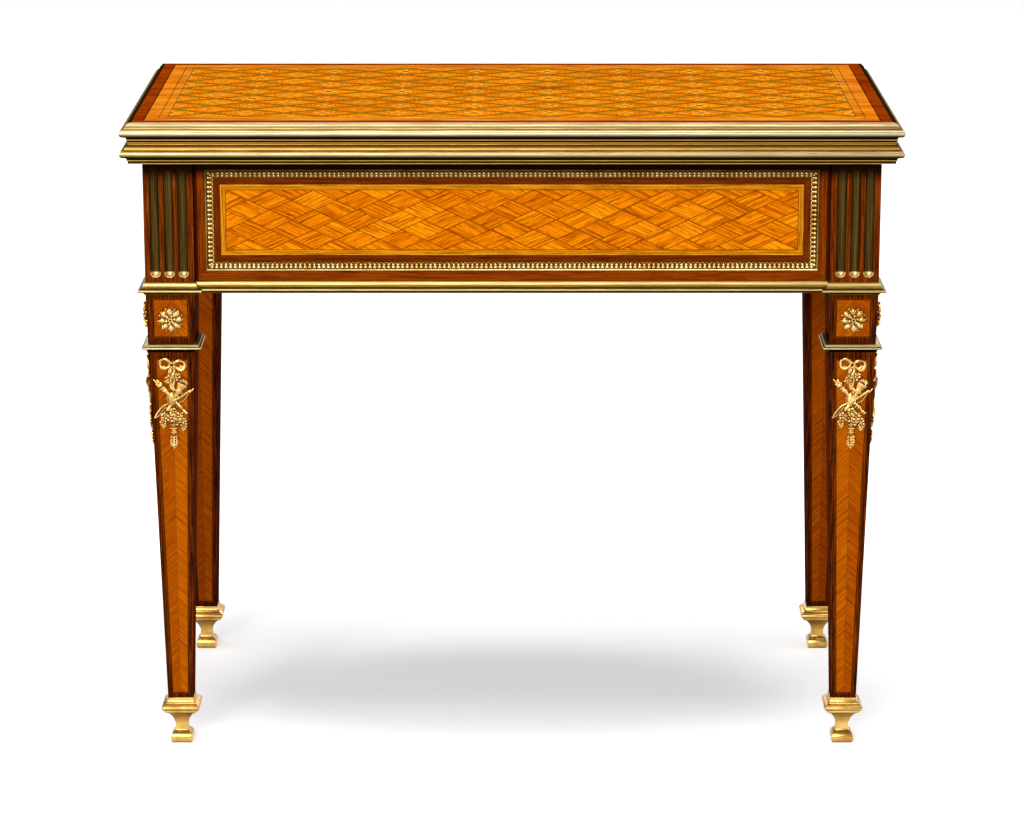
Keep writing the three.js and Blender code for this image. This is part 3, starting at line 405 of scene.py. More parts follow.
widest = addNode(lattice, "Math", flatU, flatV, operation="MAXIMUM")
inner = addNode(lattice, "Math", 0.5, widest, operation="SUBTRACT")
# mm for one step of a share: 1 / sqrt(1 / width^2 + 1 / height^2)
diagonal = addNode(lattice, "CombineXYZ", given["Width"], given["Height"], 0.0)
diagonal = addNode(lattice, "VectorMath", diagonal, operation="LENGTH", out="Value")
area = addNode(lattice, "Math", given["Width"], given["Height"], operation="MULTIPLY")
stepLength = addNode(lattice, "Math", area, diagonal, operation="DIVIDE")
side = addNode(lattice, "Math", inner, stepLength, operation="MULTIPLY")
cellU, cellV = addNode(lattice, "SeparateXYZ", cell, out=(0, 1))
odd = addNode(lattice, "Math", cellU, cellV, operation="SUBTRACT")
odd = addNode(lattice, "Math", odd, 2.0, operation="MODULO")
odd = addNode(lattice, "Math", odd, operation="ABSOLUTE")
for label, socket in (("Cell", cell), ("Local", local), ("Side", side), ("Odd", odd)):
    lattice.links.new(socket, result[label])


def objectPlace(tree, centre=(0, 0, 0)):
    # the frame's own place in mm, from a centre
    place = addNode(tree, "TexCoord", out="Object")
    place = addNode(tree, "VectorMath", place, ("Scale", 1000.0), operation="SCALE")
    return addNode(tree, "VectorMath", place, tuple(centre), operation="SUBTRACT")


# painted shadow of the top's overhang on the frame, by height
overhangShadowLook = {"start": 688.0, "full": 701.0, "color": "0A0301"}  # heights in mm, close under the top


def paintedOverhangShadow(tree, color, most=0.97):
    # painted shadow of the top's overhang, darkest close under the top
    height = addNode(tree, "SeparateXYZ", addNode(tree, "TexCoord", out="Object"), out=2)
    darkening = addNode(
        tree, "MapRange", height, ("From Min", overhangShadowLook["start"] / 1000),
        ("From Max", overhangShadowLook["full"] / 1000), ("To Max", most),
    )
    return addNode(tree, "Mix", darkening, (6, color), (7, rgb(overhangShadowLook["color"])), **asColor)


def polished(tree, color, height, roughness=0.5, gloss=0.008, bump=0.12):
    # french polish, old and thin: filled grain with a little pore relief under a trace of a clear coat
    relief = addNode(tree, "Bump", ("Strength", bump), ("Distance", 0.0004), ("Height", height))
    showSurface(tree, addNode(
        tree, "BsdfPrincipled", ("Base Color", color), ("Roughness", roughness), ("Normal", relief),
        ("Specular IOR Level", 0.0), ("Coat Weight", gloss), ("Coat Roughness", 0.25),
    ))


playLook = {
    "clothHalf": (368.4, 180.05),  # mm, half the recess of the cloth
    "clothMiddle": 27.45,  # mm behind the frame's middle
    "span": 70.0,  # mm of border that the tones are spread over
    "tones": [
        (0, "2E0E04"), (0.03, "C98A2C"), (0.06, "2E0E04"), (0.075, "96480E"), (0.72, "2E0E04"),
        (0.735, "7A3208"),
    ],
    "underside": "9C6A38",
}


def playingFace(tree, place):
    # crossbanded border of a playing face round the cloth, with one boxwood line
    x, y = addNode(tree, "SeparateXYZ", place, out=(0, 1))
    halfX, halfY = playLook["clothHalf"]
    outX = pastHalf(tree, x, halfX)
    outY = pastHalf(tree, y, halfY, playLook["clothMiddle"])
    away = addNode(tree, "Math", outX, outY, operation="MAXIMUM")
    share = addNode(tree, "Math", away, playLook["span"], operation="DIVIDE")
    band = addNode(tree, "ValToRGB", share, stops=playLook["tones"])
    band.node.color_ramp.interpolation = "CONSTANT"
    onSide = addNode(tree, "Math", outX, outY, operation="GREATER_THAN")
    crossed = addNode(tree, "CombineXYZ", y, x, 0.0)
    along = addNode(tree, "Mix", onSide, (4, crossed), (5, place), **asVector)
    return addNode(
        tree, "Group", ("Along", along), ("Seed", 3.0), ("Color", band), ("Strength", 0.85),
        node_tree=veneer, out=("Color", "Height"),
    )


# top leaf: kingwood edge, tulipwood crossbands, boxwood lines and a trellis of lozenges with flowers
topLook = {
    "trellisWidth": 88.2,
    "trellisHeight": 51.0,
    "fieldMargin": 39.7,
    "bandSpan": 40.0,  # mm from the edge that the tones of the bands are spread over
    "bandTones": [
        (0, "A04A0A"), (0.315, "2A0C02"), (0.345, "F49C20"), (0.70, "906A14"), (0.74, "F09A20"),
        (0.955, "906A14"),
    ],
    "bandStart": 0.345,  # share of the span where the dark edge ends
    "bandClouds": (0.006, 0.045, 0.0),  # per mm: clouds of 170 by 22 mm
    "cloudTones": [(0.36, "D8A078"), (0.5, "F0DCC8"), (0.62, "FFFFFF")],
    "bandStreaks": (0.012, 0.4, 0.0),  # per mm: pale streaks of 83 by 2.5 mm
    "streakTone": "FFD27C",
    "mottle": 0.16,  # per mm: spots of 6 mm
    "groundTones": [(0.36, "D47404"), (0.5, "E28205"), (0.62, "F09614")],
    "flecks": (0.34, 0.17, 0.0),  # per mm: flecks of 3 by 6 mm, coarser than real ones, which don't show
    "fleckDark": "A84402",
    "fleckPale": "FFC050",
    "oddFlecks": 0.55,
    "cellTones": [(0, "E8DCC8"), (0.5, "F8F2E6"), (1, "FFFFFF")],
    "petals": 4.0,
    "petalReach": 7.6,  # mm, middle of the flower's waved outline
    "petalWave": 3.4,
    "eyeRadius": 4.0,
    "dashSquash": 0.42,  # a dash and its leaves are this much as high as they are long
    "leafHalf": 5.0,  # mm, half their heights
    "dashHalf": 2.4,
    "lineHalf": 3.3,
    "lineTones": ("664A08", "946C18"),
    "stainMiddle": (46.0, 28.0, 0.0),
    "stainReach": (62.0, 34.0),
    "stainRags": 0.05,  # per mm: a ragged rim with lobes of 20 mm
    "stainTone": "4A3410",
    "varnish": "F6EEB4",
}


def topMaterial():
    # tulipwood parquetry and its bands, cut from sliced veneer and polished: warm, flecked, with crisp joints
    material, tree = newMaterial("tulipwood_trellis_parquetry_polished")
    low, high = boxOf("upper_leaf")
    place = objectPlace(tree, (0, (low.y + high.y) / 2, 0))
    x, y = addNode(tree, "SeparateXYZ", place, out=(0, 1))
    outX = pastHalf(tree, x, high.x)
    outY = pastHalf(tree, y, (high.y - low.y) / 2)
    away = addNode(tree, "Math", outX, outY, operation="MAXIMUM")
    share = addNode(tree, "Math", away, -topLook["bandSpan"], operation="DIVIDE")
    band = addNode(tree, "ValToRGB", share, stops=topLook["bandTones"])
    band.node.color_ramp.interpolation = "CONSTANT"
    bandWood = addNode(
        tree, "Group", ("Along", place), ("Seed", 1.0), ("Color", band), ("Strength", 0.9), node_tree=veneer
    )
    clouds = stretchedNoise(tree, place, topLook["bandClouds"], 4.0, 0.6)
    clouds = addNode(tree, "ValToRGB", clouds, stops=topLook["cloudTones"])
    bandColor = addNode(tree, "Mix", 0.9, (6, bandWood), (7, clouds), **asMultiply)
    streak = stretchedNoise(tree, place, topLook["bandStreaks"], 3.0, 0.6)
    streak = addNode(tree, "MapRange", streak, ("From Min", 0.52), ("From Max", 0.66), ("To Max", 0.5))
    pastEdge = addNode(tree, "Math", share, topLook["bandStart"], operation="GREATER_THAN")
    streak = addNode(tree, "Math", streak, pastEdge, operation="MULTIPLY")
    bandColor = addNode(tree, "Mix", streak, (6, bandColor), (7, rgb(topLook["streakTone"])), **asColor)

    width, height = topLook["trellisWidth"], topLook["trellisHeight"]
    cell, local, side, odd = addNode(
        tree, "Group", ("Place", place), ("Width", width), ("Height", height), node_tree=lattice,
        out=("Cell", "Local", "Side", "Odd"),
    )
    tone = addNode(tree, "TexWhiteNoise", cell, out="Value")
    mottled = addNode(
        tree, "TexNoise", ("Vector", place), ("Scale", topLook["mottle"]), ("Detail", 3.0), ("Roughness", 0.7)
    )
    ground = addNode(tree, "ValToRGB", mottled, stops=topLook["groundTones"])
    fleck = stretchedNoise(tree, place, topLook["flecks"], 3.0, 0.7)
    dark = addNode(tree, "MapRange", fleck, ("From Min", 0.53), ("From Max", 0.64), ("To Max", 0.9))
    pale = addNode(tree, "MapRange", fleck, ("From Min", 0.47), ("From Max", 0.37), ("To Max", 0.75))
    oddShare = addNode(tree, "MapRange", odd, ("To Min", 1.0), ("To Max", topLook["oddFlecks"]))
    dark = addNode(tree, "Math", dark, oddShare, operation="MULTIPLY")
    ground = addNode(tree, "Mix", dark, (6, ground), (7, rgb(topLook["fleckDark"])), **asColor)
    ground = addNode(tree, "Mix", pale, (6, ground), (7, rgb(topLook["fleckPale"])), **asColor)
    cellTint = addNode(tree, "ValToRGB", tone, stops=topLook["cellTones"])
    ground = addNode(tree, "Mix", 1.0, (6, ground), (7, cellTint), **asMultiply)
    color, grain = addNode(
        tree, "Group", ("Along", place), ("Seed", tone), ("Color", ground), ("Strength", 0.4),
        node_tree=veneer, out=("Color", "Height"),
    )

    # a flower in the even lozenges, and a dark dash between two pale leaves in the odd ones
    lx, ly = addNode(tree, "SeparateXYZ", local, out=(0, 1))
    far = addNode(tree, "VectorMath", local, operation="LENGTH", out="Value")
    angle = addNode(tree, "Math", ly, lx, operation="ARCTAN2")
    lobes = addNode(tree, "Math", angle, topLook["petals"], operation="MULTIPLY")
    lobes = addNode(tree, "Math", lobes, operation="COSINE")
    wave, middle = topLook["petalWave"], topLook["petalReach"]
    reach = addNode(tree, "Math", lobes, wave, middle, operation="MULTIPLY_ADD")
    inPetal = addNode(tree, "Math", far, reach, operation="LESS_THAN")
    pastEye = addNode(tree, "Math", far, topLook["eyeRadius"], operation="GREATER_THAN")
    inEye = addNode(tree, "Math", far, topLook["eyeRadius"], operation="LESS_THAN")
    eyeShare = addNode(
        tree, "MapRange", tone, ("From Min", 0.2), ("From Max", 0.9), ("To Min", 0.3), ("To Max", 1.0)
    )
    even = addNode(tree, "Math", 1.0, odd, operation="SUBTRACT")
    dashFar = addNode(tree, "VectorMath", local, (topLook["dashSquash"], 1.0, 0.0), operation="MULTIPLY")
    dashFar = addNode(tree, "VectorMath", dashFar, operation="LENGTH", out="Value")
    inLeaf = addNode(tree, "Math", dashFar, topLook["leafHalf"], operation="LESS_THAN")
    inDash = addNode(tree, "Math", dashFar, topLook["dashHalf"], operation="LESS_THAN")
    # and a dark glue line on each side of the boxwood lines
    lineHalf = topLook["lineHalf"]
    glue = addNode(tree, "MapRange", side, ("From Min", lineHalf + 0.7), ("From Max", lineHalf + 0.1))
    for shares, tint in (
        ((inPetal, pastEye, even, 0.45), "FFC860"),
        ((inEye, even, eyeShare), "4A2E06"),
        ((inLeaf, odd, 0.28), "FFC45A"),
        ((inDash, odd, 0.75), "5A4208"),
        ((glue, 0.5), "7A4204"),
    ):
        share = shares[0]
        for other in shares[1:]:
            share = addNode(tree, "Math", share, other, operation="MULTIPLY")
        color = addNode(tree, "Mix", share, (6, color), (7, rgb(tint)), **asColor)

    # boxwood lines, stained green
    onLine = addNode(tree, "Math", side, lineHalf, operation="LESS_THAN")
    lineDark, linePale = (rgb(code) for code in topLook["lineTones"])
    lineWood = addNode(tree, "Mix", mottled, (6, lineDark), (7, linePale), **asColor)
    color = addNode(tree, "Mix", onLine, (6, color), (7, lineWood), **asColor)

    # old ink stain behind the middle
    stainX, stainY = topLook["stainReach"]
    stainFar = addNode(tree, "VectorMath", place, topLook["stainMiddle"], operation="SUBTRACT")
    stainFar = addNode(tree, "VectorMath", stainFar, (1 / stainX, 1 / stainY, 0.0), operation="MULTIPLY")
    stainFar = addNode(tree, "VectorMath", stainFar, operation="LENGTH", out="Value")
    ragged = addNode(
        tree, "TexNoise", ("Vector", place), ("Scale", topLook["stainRags"]), ("Detail", 4.0),
        ("Roughness", 0.7),
    )
    stainFar = addNode(tree, "Math", stainFar, ragged, operation="ADD")
    stain = addNode(tree, "MapRange", stainFar, ("From Min", 1.15), ("From Max", 0.5), ("To Max", 0.55))
    color = addNode(tree, "Mix", stain, (6, color), (7, rgb(topLook["stainTone"])), **asColor)

    inField = addNode(tree, "Math", away, -topLook["fieldMargin"], operation="LESS_THAN")
    color = addNode(tree, "Mix", inField, (6, bandColor), (7, color), **asColor)
    # varnish yellowed by age
    color = addNode(tree, "Mix", 1.0, (6, color), (7, rgb(topLook["varnish"])), **asMultiply)
    play = playingFace(tree, objectPlace(tree))[0]
    color = addNode(tree, "Mix", facesUp(tree), (6, play), (7, color), **asColor)
    polished(tree, color, grain, gloss=0.0)
    return material


def lowerLeafMaterial():
    # kingwood border of the lower playing face, polished; the underside is left as planed wood
    material, tree = newMaterial("kingwood_playing_border_polished")
    play, grain = playingFace(tree, objectPlace(tree))
    bare = addNode(
        tree, "Group", ("Along", objectPlace(tree)), ("Seed", 5.0), ("Color", rgb(playLook["underside"])),
        ("Strength", 0.7), node_tree=veneer,
    )
    color = addNode(tree, "Mix", facesUp(tree), (6, bare), (7, play), **asColor)
    polished(tree, color, grain)
    return material


# places and sizes of the frame that its woods and its brass share, in mm
legLow, legHigh = boxOf("leg_front_right")
blockSize = legHigh.x - legLow.x
railHalf = legLow.x
frameMiddleY = (legLow.y + boxOf("leg_back_right")[1].y) / 2
railSideHalf = boxOf("leg_back_left")[0].y - frameMiddleY

friezeLook = {
    "lozengeWidth": 51.0,
    "lozengeHeight": 23.3,
    "fieldHalfHeight": 34.95,
    "middleZ": 642.55,
    "edgeToField": 24.6,  # mm from the outer edge of the beaded frame to the lozenges
    "bandSpan": 30.0,  # mm outside the lozenges that the tones of the bands are spread over
    "bandTones": [
        (0, "8A4404"), (0.02, "CC8612"), (0.185, "E0A028"), (0.217, "3E1602"), (0.235, "6C2E04"),
        (0.8, "8A3E04"),
    ],
    "cellTones": [(0, "E07C02"), (0.35, "E88604"), (0.7, "F08E06"), (1, "F89A0C")],
    "joint": "6E2E02",
    # painted shadow on the rail beside each leg's block
    "cornerShadow": (4.6, 3.4),  # mm from the leg's block where it starts and where it is full
    "cornerShadowTone": "220800",
    "inside": "9C6A38",
}


def railMaterial():
    # friezes: tulipwood lozenges with the grain turned from row to row, inside boxwood and kingwood bands
    material, tree = newMaterial("tulipwood_lozenge_frieze_polished")
    place = objectPlace(tree, (0, frameMiddleY, friezeLook["middleZ"]))
    facing = addNode(tree, "TexCoord", out="Normal")
    outward = addNode(tree, "VectorMath", facing, place, operation="DOT_PRODUCT", out="Value")
    onSide = facesSideways(tree)
    x, y, z = addNode(tree, "SeparateXYZ", place, out=(0, 1, 2))
    across = addNode(tree, "Mix", onSide, (2, x), (3, y))
    sideLow, sideHigh = boxOf("beaded_frame_left")
    frontHalf = boxOf("beaded_frame_front")[1].x - friezeLook["edgeToField"]
    sideHalf = (sideHigh.y - sideLow.y) / 2 - friezeLook["edgeToField"]
    half = addNode(tree, "Mix", onSide, (2, frontHalf), (3, sideHalf))
    outX = pastHalf(tree, across, half)
    outZ = pastHalf(tree, z, friezeLook["fieldHalfHeight"])
    away = addNode(tree, "Math", outX, outZ, operation="MAXIMUM")
    flatPlace = addNode(tree, "CombineXYZ", across, z, 0.0)

    share = addNode(tree, "Math", away, friezeLook["bandSpan"], operation="DIVIDE")
    band = addNode(tree, "ValToRGB", share, stops=friezeLook["bandTones"])
    band.node.color_ramp.interpolation = "CONSTANT"
    onEnd = addNode(tree, "Math", outX, outZ, operation="GREATER_THAN")
    crossed = addNode(tree, "CombineXYZ", z, across, 0.0)
    along = addNode(tree, "Mix", onEnd, (4, flatPlace), (5, crossed), **asVector)
    bandWood = addNode(
        tree, "Group", ("Along", along), ("Seed", 2.0), ("Color", band), ("Strength", 0.85), node_tree=veneer
    )

    width, height = friezeLook["lozengeWidth"], friezeLook["lozengeHeight"]
    cell, local, side, odd = addNode(
        tree, "Group", ("Place", flatPlace), ("Width", width), ("Height", height), node_tree=lattice,
        out=("Cell", "Local", "Side", "Odd"),
    )
    tone = addNode(tree, "TexWhiteNoise", cell, out="Value")
    ground = addNode(tree, "ValToRGB", tone, stops=friezeLook["cellTones"])
    flip = addNode(tree, "Math", odd, -2.0, 1.0, operation="MULTIPLY_ADD")
    localX, localY = addNode(tree, "SeparateXYZ", local, out=(0, 1))
    localY = addNode(tree, "Math", localY, flip, operation="MULTIPLY")
    straight = addNode(tree, "CombineXYZ", localX, localY, 0.0)
    slope = math.atan2(height, width)
    straight = addNode(tree, "VectorRotate", straight, ("Angle", -slope), rotation_type="Z_AXIS")
    seed = addNode(tree, "Math", tone, 9.0, operation="MULTIPLY")
    field, grain = addNode(
        tree, "Group", ("Along", straight), ("Seed", seed), ("Color", ground), ("Strength", 1.0),
        node_tree=veneer, out=("Color", "Height"),
    )
    joint = addNode(tree, "MapRange", side, ("From Min", 0.8), ("From Max", 0.35), ("To Max", 0.8))
    color = addNode(tree, "Mix", joint, (6, field), (7, rgb(friezeLook["joint"])), **asColor)
    inField = addNode(tree, "Math", away, 0.0, operation="LESS_THAN")
    color = addNode(tree, "Mix", inField, (6, bandWood), (7, color), **asColor)

    # painted shadow in the corner beside each block
    blockHalf = addNode(tree, "Mix", onSide, (2, railHalf), (3, railSideHalf))
    corner = pastHalf(tree, across, blockHalf)
    start, full = friezeLook["cornerShadow"]
    corner = addNode(tree, "MapRange", corner, ("From Min", -start), ("From Max", -full), ("To Max", 0.85))
    color = addNode(tree, "Mix", corner, (6, color), (7, rgb(friezeLook["cornerShadowTone"])), **asColor)
    # the inner faces are bare wood
    bare = addNode(
        tree, "Group", ("Along", flatPlace), ("Seed", 5.0), ("Color", rgb(friezeLook["inside"])),
        ("Strength", 0.7), node_tree=veneer,
    )
    outer = addNode(tree, "Math", outward, 100.0, operation="GREATER_THAN")
    # the outer faces get the painted shadow of the top's overhang
    color = addNode(tree, "Mix", outer, (6, bare), (7, paintedOverhangShadow(tree, color)), **asColor)
    polished(tree, color, grain)
    return material


legLook = {
    "topWidth": 57.5,
    "footWidth": 30.0,
    "taperTop": 556.0,
    "taperFoot": 58.0,
    "chevronAngle": 43.0,
    "bandTop": 8.4,
    "bandTopZ": 487.0,
    "bandFoot": 6.3,
    "panelTop": 477.0,
    "panelFoot": 65.0,
    "dieHalfWidth": 19.4,
    "dieTop": 549.5,
    "dieFoot": 505.5,
    "chevronTones": ("AA5303", "B86005"),
    "chevronStretch": (1.0, 1.7, 1.0),
    "stripLines": (0.012, 0.42, 1.0),  # per mm: fine lines, 2.4 mm apart
    "stripTone": "7A3002",
    "figure": (0.02, 0.7, 1.0),  # per mm: dark figure of 50 by 1.4 mm
    "taperTones": [(0.38, "1E0801"), (0.5, "4C1E03"), (0.61, "823A06")],
    "blockTones": [(0.36, "441802"), (0.5, "722E04"), (0.63, "9C4A08")],
    "seam": "7A3404",
    "rim": "6A2C04",
    "lineOut": 1.5,  # mm from the panel's edge to the middle of the boxwood line
    "lineTone": "8A5C10",
    # painted shade: multiplied into the inner faces and into the back legs
    "innerTone": "806A58",
    "backTone": "D2C4B2",
}
legSlope = (legLook["topWidth"] - legLook["footWidth"]) / 2 / (legLook["taperTop"] - legLook["taperFoot"])


def legMaterial():
    # legs: tulipwood chevrons between kingwood bands, thin boxwood lines, kingwood round the flutes
    material, tree = newMaterial("kingwood_and_tulipwood_chevron_polished")
    legX = (legLow.x + legHigh.x) / 2
    backLow, backHigh = boxOf("leg_back_right")
    legY = (backLow.y + backHigh.y) / 2 - frameMiddleY
    place = objectPlace(tree, (0, frameMiddleY, 0))
    x, y, z = addNode(tree, "SeparateXYZ", place, out=(0, 1, 2))
    fromX, fromY = pastHalf(tree, x, legX), pastHalf(tree, y, legY)
    across = addNode(tree, "Mix", facesSideways(tree), (2, fromX), (3, fromY))
    away = addNode(tree, "Math", across, operation="ABSOLUTE")
    # half width of the leg at this height, less its band, is the panel's edge
    foot = legLook["taperFoot"]
    narrow = (legLook["bandTop"] - legLook["bandFoot"]) / (legLook["bandTopZ"] - foot)
    halfAtZero = legLook["footWidth"] / 2 - legSlope * foot
    bandAtZero = legLook["bandFoot"] - narrow * foot
    half = addNode(tree, "Math", z, legSlope, halfAtZero, operation="MULTIPLY_ADD")
    bandWidth = addNode(tree, "Math", z, narrow, bandAtZero, operation="MULTIPLY_ADD")
    panelHalf = addNode(tree, "Math", half, bandWidth, operation="SUBTRACT")
    parts = []
    for halfWidth, top, bottom in (
        (panelHalf, legLook["panelTop"], legLook["panelFoot"]),
        (legLook["dieHalfWidth"], legLook["dieTop"], legLook["dieFoot"]),
    ):
        outX = pastHalf(tree, across, halfWidth)
        outZ = pastHalf(tree, z, (top - bottom) / 2, (top + bottom) / 2)
        parts.append(addNode(tree, "Math", outX, outZ, operation="MAXIMUM"))
    outPanel = addNode(tree, "Math", *parts, operation="MINIMUM")

    folded = addNode(tree, "CombineXYZ", away, z, 0.0)
    turn = math.radians(legLook["chevronAngle"])
    folded = addNode(tree, "VectorRotate", folded, ("Angle", turn), rotation_type="Z_AXIS")
    inward = addNode(tree, "Math", across, 0.0, operation="LESS_THAN")
    atRight = addNode(tree, "Math", x, 0.0, operation="GREATER_THAN")
    seed = addNode(tree, "Math", atRight, 5.0, operation="MULTIPLY")
    seed = addNode(tree, "Math", inward, 3.0, seed, operation="MULTIPLY_ADD")
    outerTone, innerTone = (rgb(code) for code in legLook["chevronTones"])
    chevronBase = addNode(tree, "Mix", inward, (6, outerTone), (7, innerTone), **asColor)
    folded = addNode(tree, "VectorMath", folded, legLook["chevronStretch"], operation="MULTIPLY")
    chevron, grain = addNode(
        tree, "Group", ("Along", folded), ("Seed", seed), ("Color", chevronBase), ("Strength", 0.8),
        node_tree=veneer, out=("Color", "Height"),
    )
    strips = stretchedNoise(tree, folded, legLook["stripLines"], 2.0, 0.5)
    strips = addNode(tree, "MapRange", strips, ("From Min", 0.45), ("From Max", 0.39), ("To Max", 0.6))
    seam = addNode(tree, "MapRange", away, ("From Min", 0.7), ("From Max", 0.2), ("To Max", 0.55))
    rim = addNode(tree, "MapRange", outPanel, ("From Min", -0.9), ("From Max", -0.1), ("To Max", 0.6))
    panel = chevron
    for share, tint in ((strips, legLook["stripTone"]), (seam, legLook["seam"]), (rim, legLook["rim"])):
        panel = addNode(tree, "Mix", share, (6, panel), (7, rgb(tint)), **asColor)

    # kingwood: dark purple-brown figure, upright beside the panels and on the block
    upright = addNode(tree, "CombineXYZ", z, across, seed)
    figure = stretchedNoise(tree, upright, legLook["figure"], 5.0, 0.7)
    taperTone = addNode(tree, "ValToRGB", figure, stops=legLook["taperTones"])
    blockTone = addNode(tree, "ValToRGB", figure, stops=legLook["blockTones"])
    onBlock = addNode(tree, "Math", z, legLook["taperTop"], operation="GREATER_THAN")
    kingTone = addNode(tree, "Mix", onBlock, (6, taperTone), (7, blockTone), **asColor)
    king = addNode(
        tree, "Group", ("Along", upright), ("Seed", seed), ("Color", kingTone), ("Strength", 0.9),
        node_tree=veneer,
    )
    inPanel = addNode(tree, "Math", outPanel, 0.0, operation="LESS_THAN")
    color = addNode(tree, "Mix", inPanel, (6, king), (7, panel), **asColor)
    # boxwood line just outside the panel
    lineFrom = addNode(tree, "Math", outPanel, legLook["lineOut"], operation="SUBTRACT")
    lineFrom = addNode(tree, "Math", lineFrom, operation="ABSOLUTE")
    onLine = addNode(tree, "MapRange", lineFrom, ("From Min", 0.7), ("From Max", 0.3), ("To Max", 0.16))
    color = addNode(tree, "Mix", onLine, (6, color), (7, rgb(legLook["lineTone"])), **asColor)
    # painted shadow of the top's overhang
    color = paintedOverhangShadow(tree, color)
    # painted shade on the inner faces, and a lighter painted shade on the back legs
    facing = addNode(tree, "SeparateXYZ", addNode(tree, "TexCoord", out="Normal"))
    facingIn = addNode(tree, "Math", facing, x, operation="MULTIPLY")
    facingIn = addNode(tree, "Math", facingIn, -200.0, operation="LESS_THAN")
    atBack = addNode(tree, "Math", y, 0.0, operation="GREATER_THAN")
    for share, tint in ((facingIn, legLook["innerTone"]), (atBack, legLook["backTone"])):
        color = addNode(tree, "Mix", share, (6, color), (7, rgb(tint)), **asMultiply)
    polished(tree, color, grain)
    return material


oakLook = {"color": "A87A48", "roughness": 0.6, "bump": 0.3}


def oakMaterial():
    # planed oak of the carcase, oiled only: paler, open grain, dull
    material, tree = newMaterial("oak_planed")
    bare, grain = addNode(
        tree, "Group", ("Along", objectPlace(tree)), ("Seed", 7.0), ("Color", rgb(oakLook["color"])),
        ("Strength", 0.9), node_tree=veneer, out=("Color", "Height"),
    )
    polished(tree, bare, grain, roughness=oakLook["roughness"], bump=oakLook["bump"])
    return material


# metals
def metalMaterial(
    name, pale, deep, grimeAndShade, roughness, hollowReach, drawn=False, scratch=0.06, patinaAndShadeShare=0.9,
    shadeBelowShare=0.6, highlightShadeAndDirtBands=None, litTips=None, hollows=(0.72, 0.25), lowFaces=(-0.1, -0.6), shaded=False,
    paintedDarkSlope=False, burnish=0.0,
):
    # cast and chased metal: bright where it is handled, brown in the hollows from patina and painted shade,
    # painted shade on faces that look down, a faint brushed wear; drawn strips have long streaks along their
    # run;
    # hollowReach is in mm, as are the heights in the bands of painted highlight, painted shade and dirt,
    # which are (foot, pitch, tones), and the painted highlight at the tips, (height, tone)
    material, tree = newMaterial(name)
    place = objectPlace(tree)
    height = addNode(tree, "SeparateXYZ", place, out=2)
    if drawn == "up":
        place = addNode(tree, "VectorMath", place, metalLook["upStreaks"], operation="MULTIPLY")
    elif drawn:
        onSide = facesSideways(tree, 0.45)
        x, y, z = addNode(tree, "SeparateXYZ", place, out=(0, 1, 2))
        run = addNode(tree, "Mix", onSide, (2, x), (3, y))
        run = addNode(tree, "Math", run, metalLook["runStreaks"], operation="MULTIPLY")
        place = addNode(tree, "CombineXYZ", run, z, onSide)
    wearScale = metalLook["drawnWear"] if drawn else metalLook["castWear"]
    worn, grain = (
        addNode(tree, "TexNoise", ("Vector", place), ("Scale", scale), ("Detail", fine), ("Roughness", share))
        for scale, fine, share in ((wearScale, 4.0, 0.65), (metalLook["grain"], 3.0, 0.6))
    )
    speck = addNode(tree, "MapRange", grain, ("From Min", 0.34), ("From Max", 0.28), ("To Max", 0.5))
    # patina and painted shade in the hollows
    hollow = addNode(
        tree, "AmbientOcclusion", ("Distance", hollowReach / 1000), samples=6, only_local=True, out="AO"
    )
    clean, full = hollows
    darkening = addNode(tree, "MapRange", hollow, ("From Min", clean), ("From Max", full), ("To Max", patinaAndShadeShare))
    # painted shade on faces that look down
    downward = addNode(tree, "SeparateXYZ", addNode(tree, "TexCoord", out="Normal"), out=2)
    clean, full = lowFaces
    shadeBelow = addNode(
        tree, "MapRange", downward, ("From Min", clean), ("From Max", full), ("To Max", shadeBelowShare)
    )
    color = addNode(tree, "ValToRGB", worn, stops=[(0.36, deep), (0.6, pale)])
    for share in (speck, darkening, shadeBelow):
        color = addNode(tree, "Mix", share, (6, color), (7, rgb(grimeAndShade)), **asColor)
    # the metal loses its shine where patina and painted shade lie
    nonMetalShare = addNode(tree, "Math", darkening, shadeBelow, operation="MAXIMUM")
    if highlightShadeAndDirtBands:
        # painted highlights and painted shade, with dirt in the quirks, along the moulding, by height above
        # the foot of each repeat of it
        foot, pitch, levels = highlightShadeAndDirtBands
        level = addNode(tree, "Math", height, foot, operation="SUBTRACT")
        level = addNode(tree, "Math", level, pitch, operation="DIVIDE")
        level = addNode(tree, "Math", level, operation="FRACT")
        line = addNode(tree, "ValToRGB", level, stops=[(spot / pitch, code) for spot, code in levels])
        color = addNode(tree, "Mix", 1.0, (6, color), (7, line), **asMultiply)
        if paintedDarkSlope:
            # painted dark reflection on the slope above the bead here, with the metal's shine taken away
            slope = addNode(tree, "MapRange", level, ("From Min", 0.67), ("From Max", 0.70))
            slopeTone = addNode(tree, "ValToRGB", level, stops=metalLook["paintedDarkSlope"])
            color = addNode(tree, "Mix", slope, (6, color), (7, slopeTone), **asColor)
            nonMetalShare = addNode(tree, "Math", nonMetalShare, slope, operation="MAXIMUM")
    if shaded:
        # painted shadow of the top's overhang
        color = paintedOverhangShadow(tree, color, 0.8)
    if litTips:
        # painted highlight below this height
        tipTop, tipHighlight = litTips
        bright = addNode(tree, "MapRange", height, ("From Min", tipTop), ("From Max", tipTop - 1.5))
        color = addNode(tree, "Mix", bright, (6, color), (7, rgb(tipHighlight)), **asColor)
    relief = addNode(tree, "Bump", ("Strength", scratch), ("Distance", 0.0005), ("Height", grain))
    rough = addNode(
        tree, "MapRange", worn, ("From Min", 0.3), ("From Max", 0.7), ("To Min", roughness + 0.1),
        ("To Max", roughness - 0.05),
    )
    metallic = addNode(tree, "Math", 1.0, nonMetalShare, operation="SUBTRACT")
    showSurface(tree, addNode(
        tree, "BsdfPrincipled", ("Base Color", color), ("Metallic", metallic), ("Roughness", rough),
        ("Normal", relief), ("Specular IOR Level", 0.0), ("Coat Weight", burnish), ("Coat Roughness", 0.12),
    ))
    return material


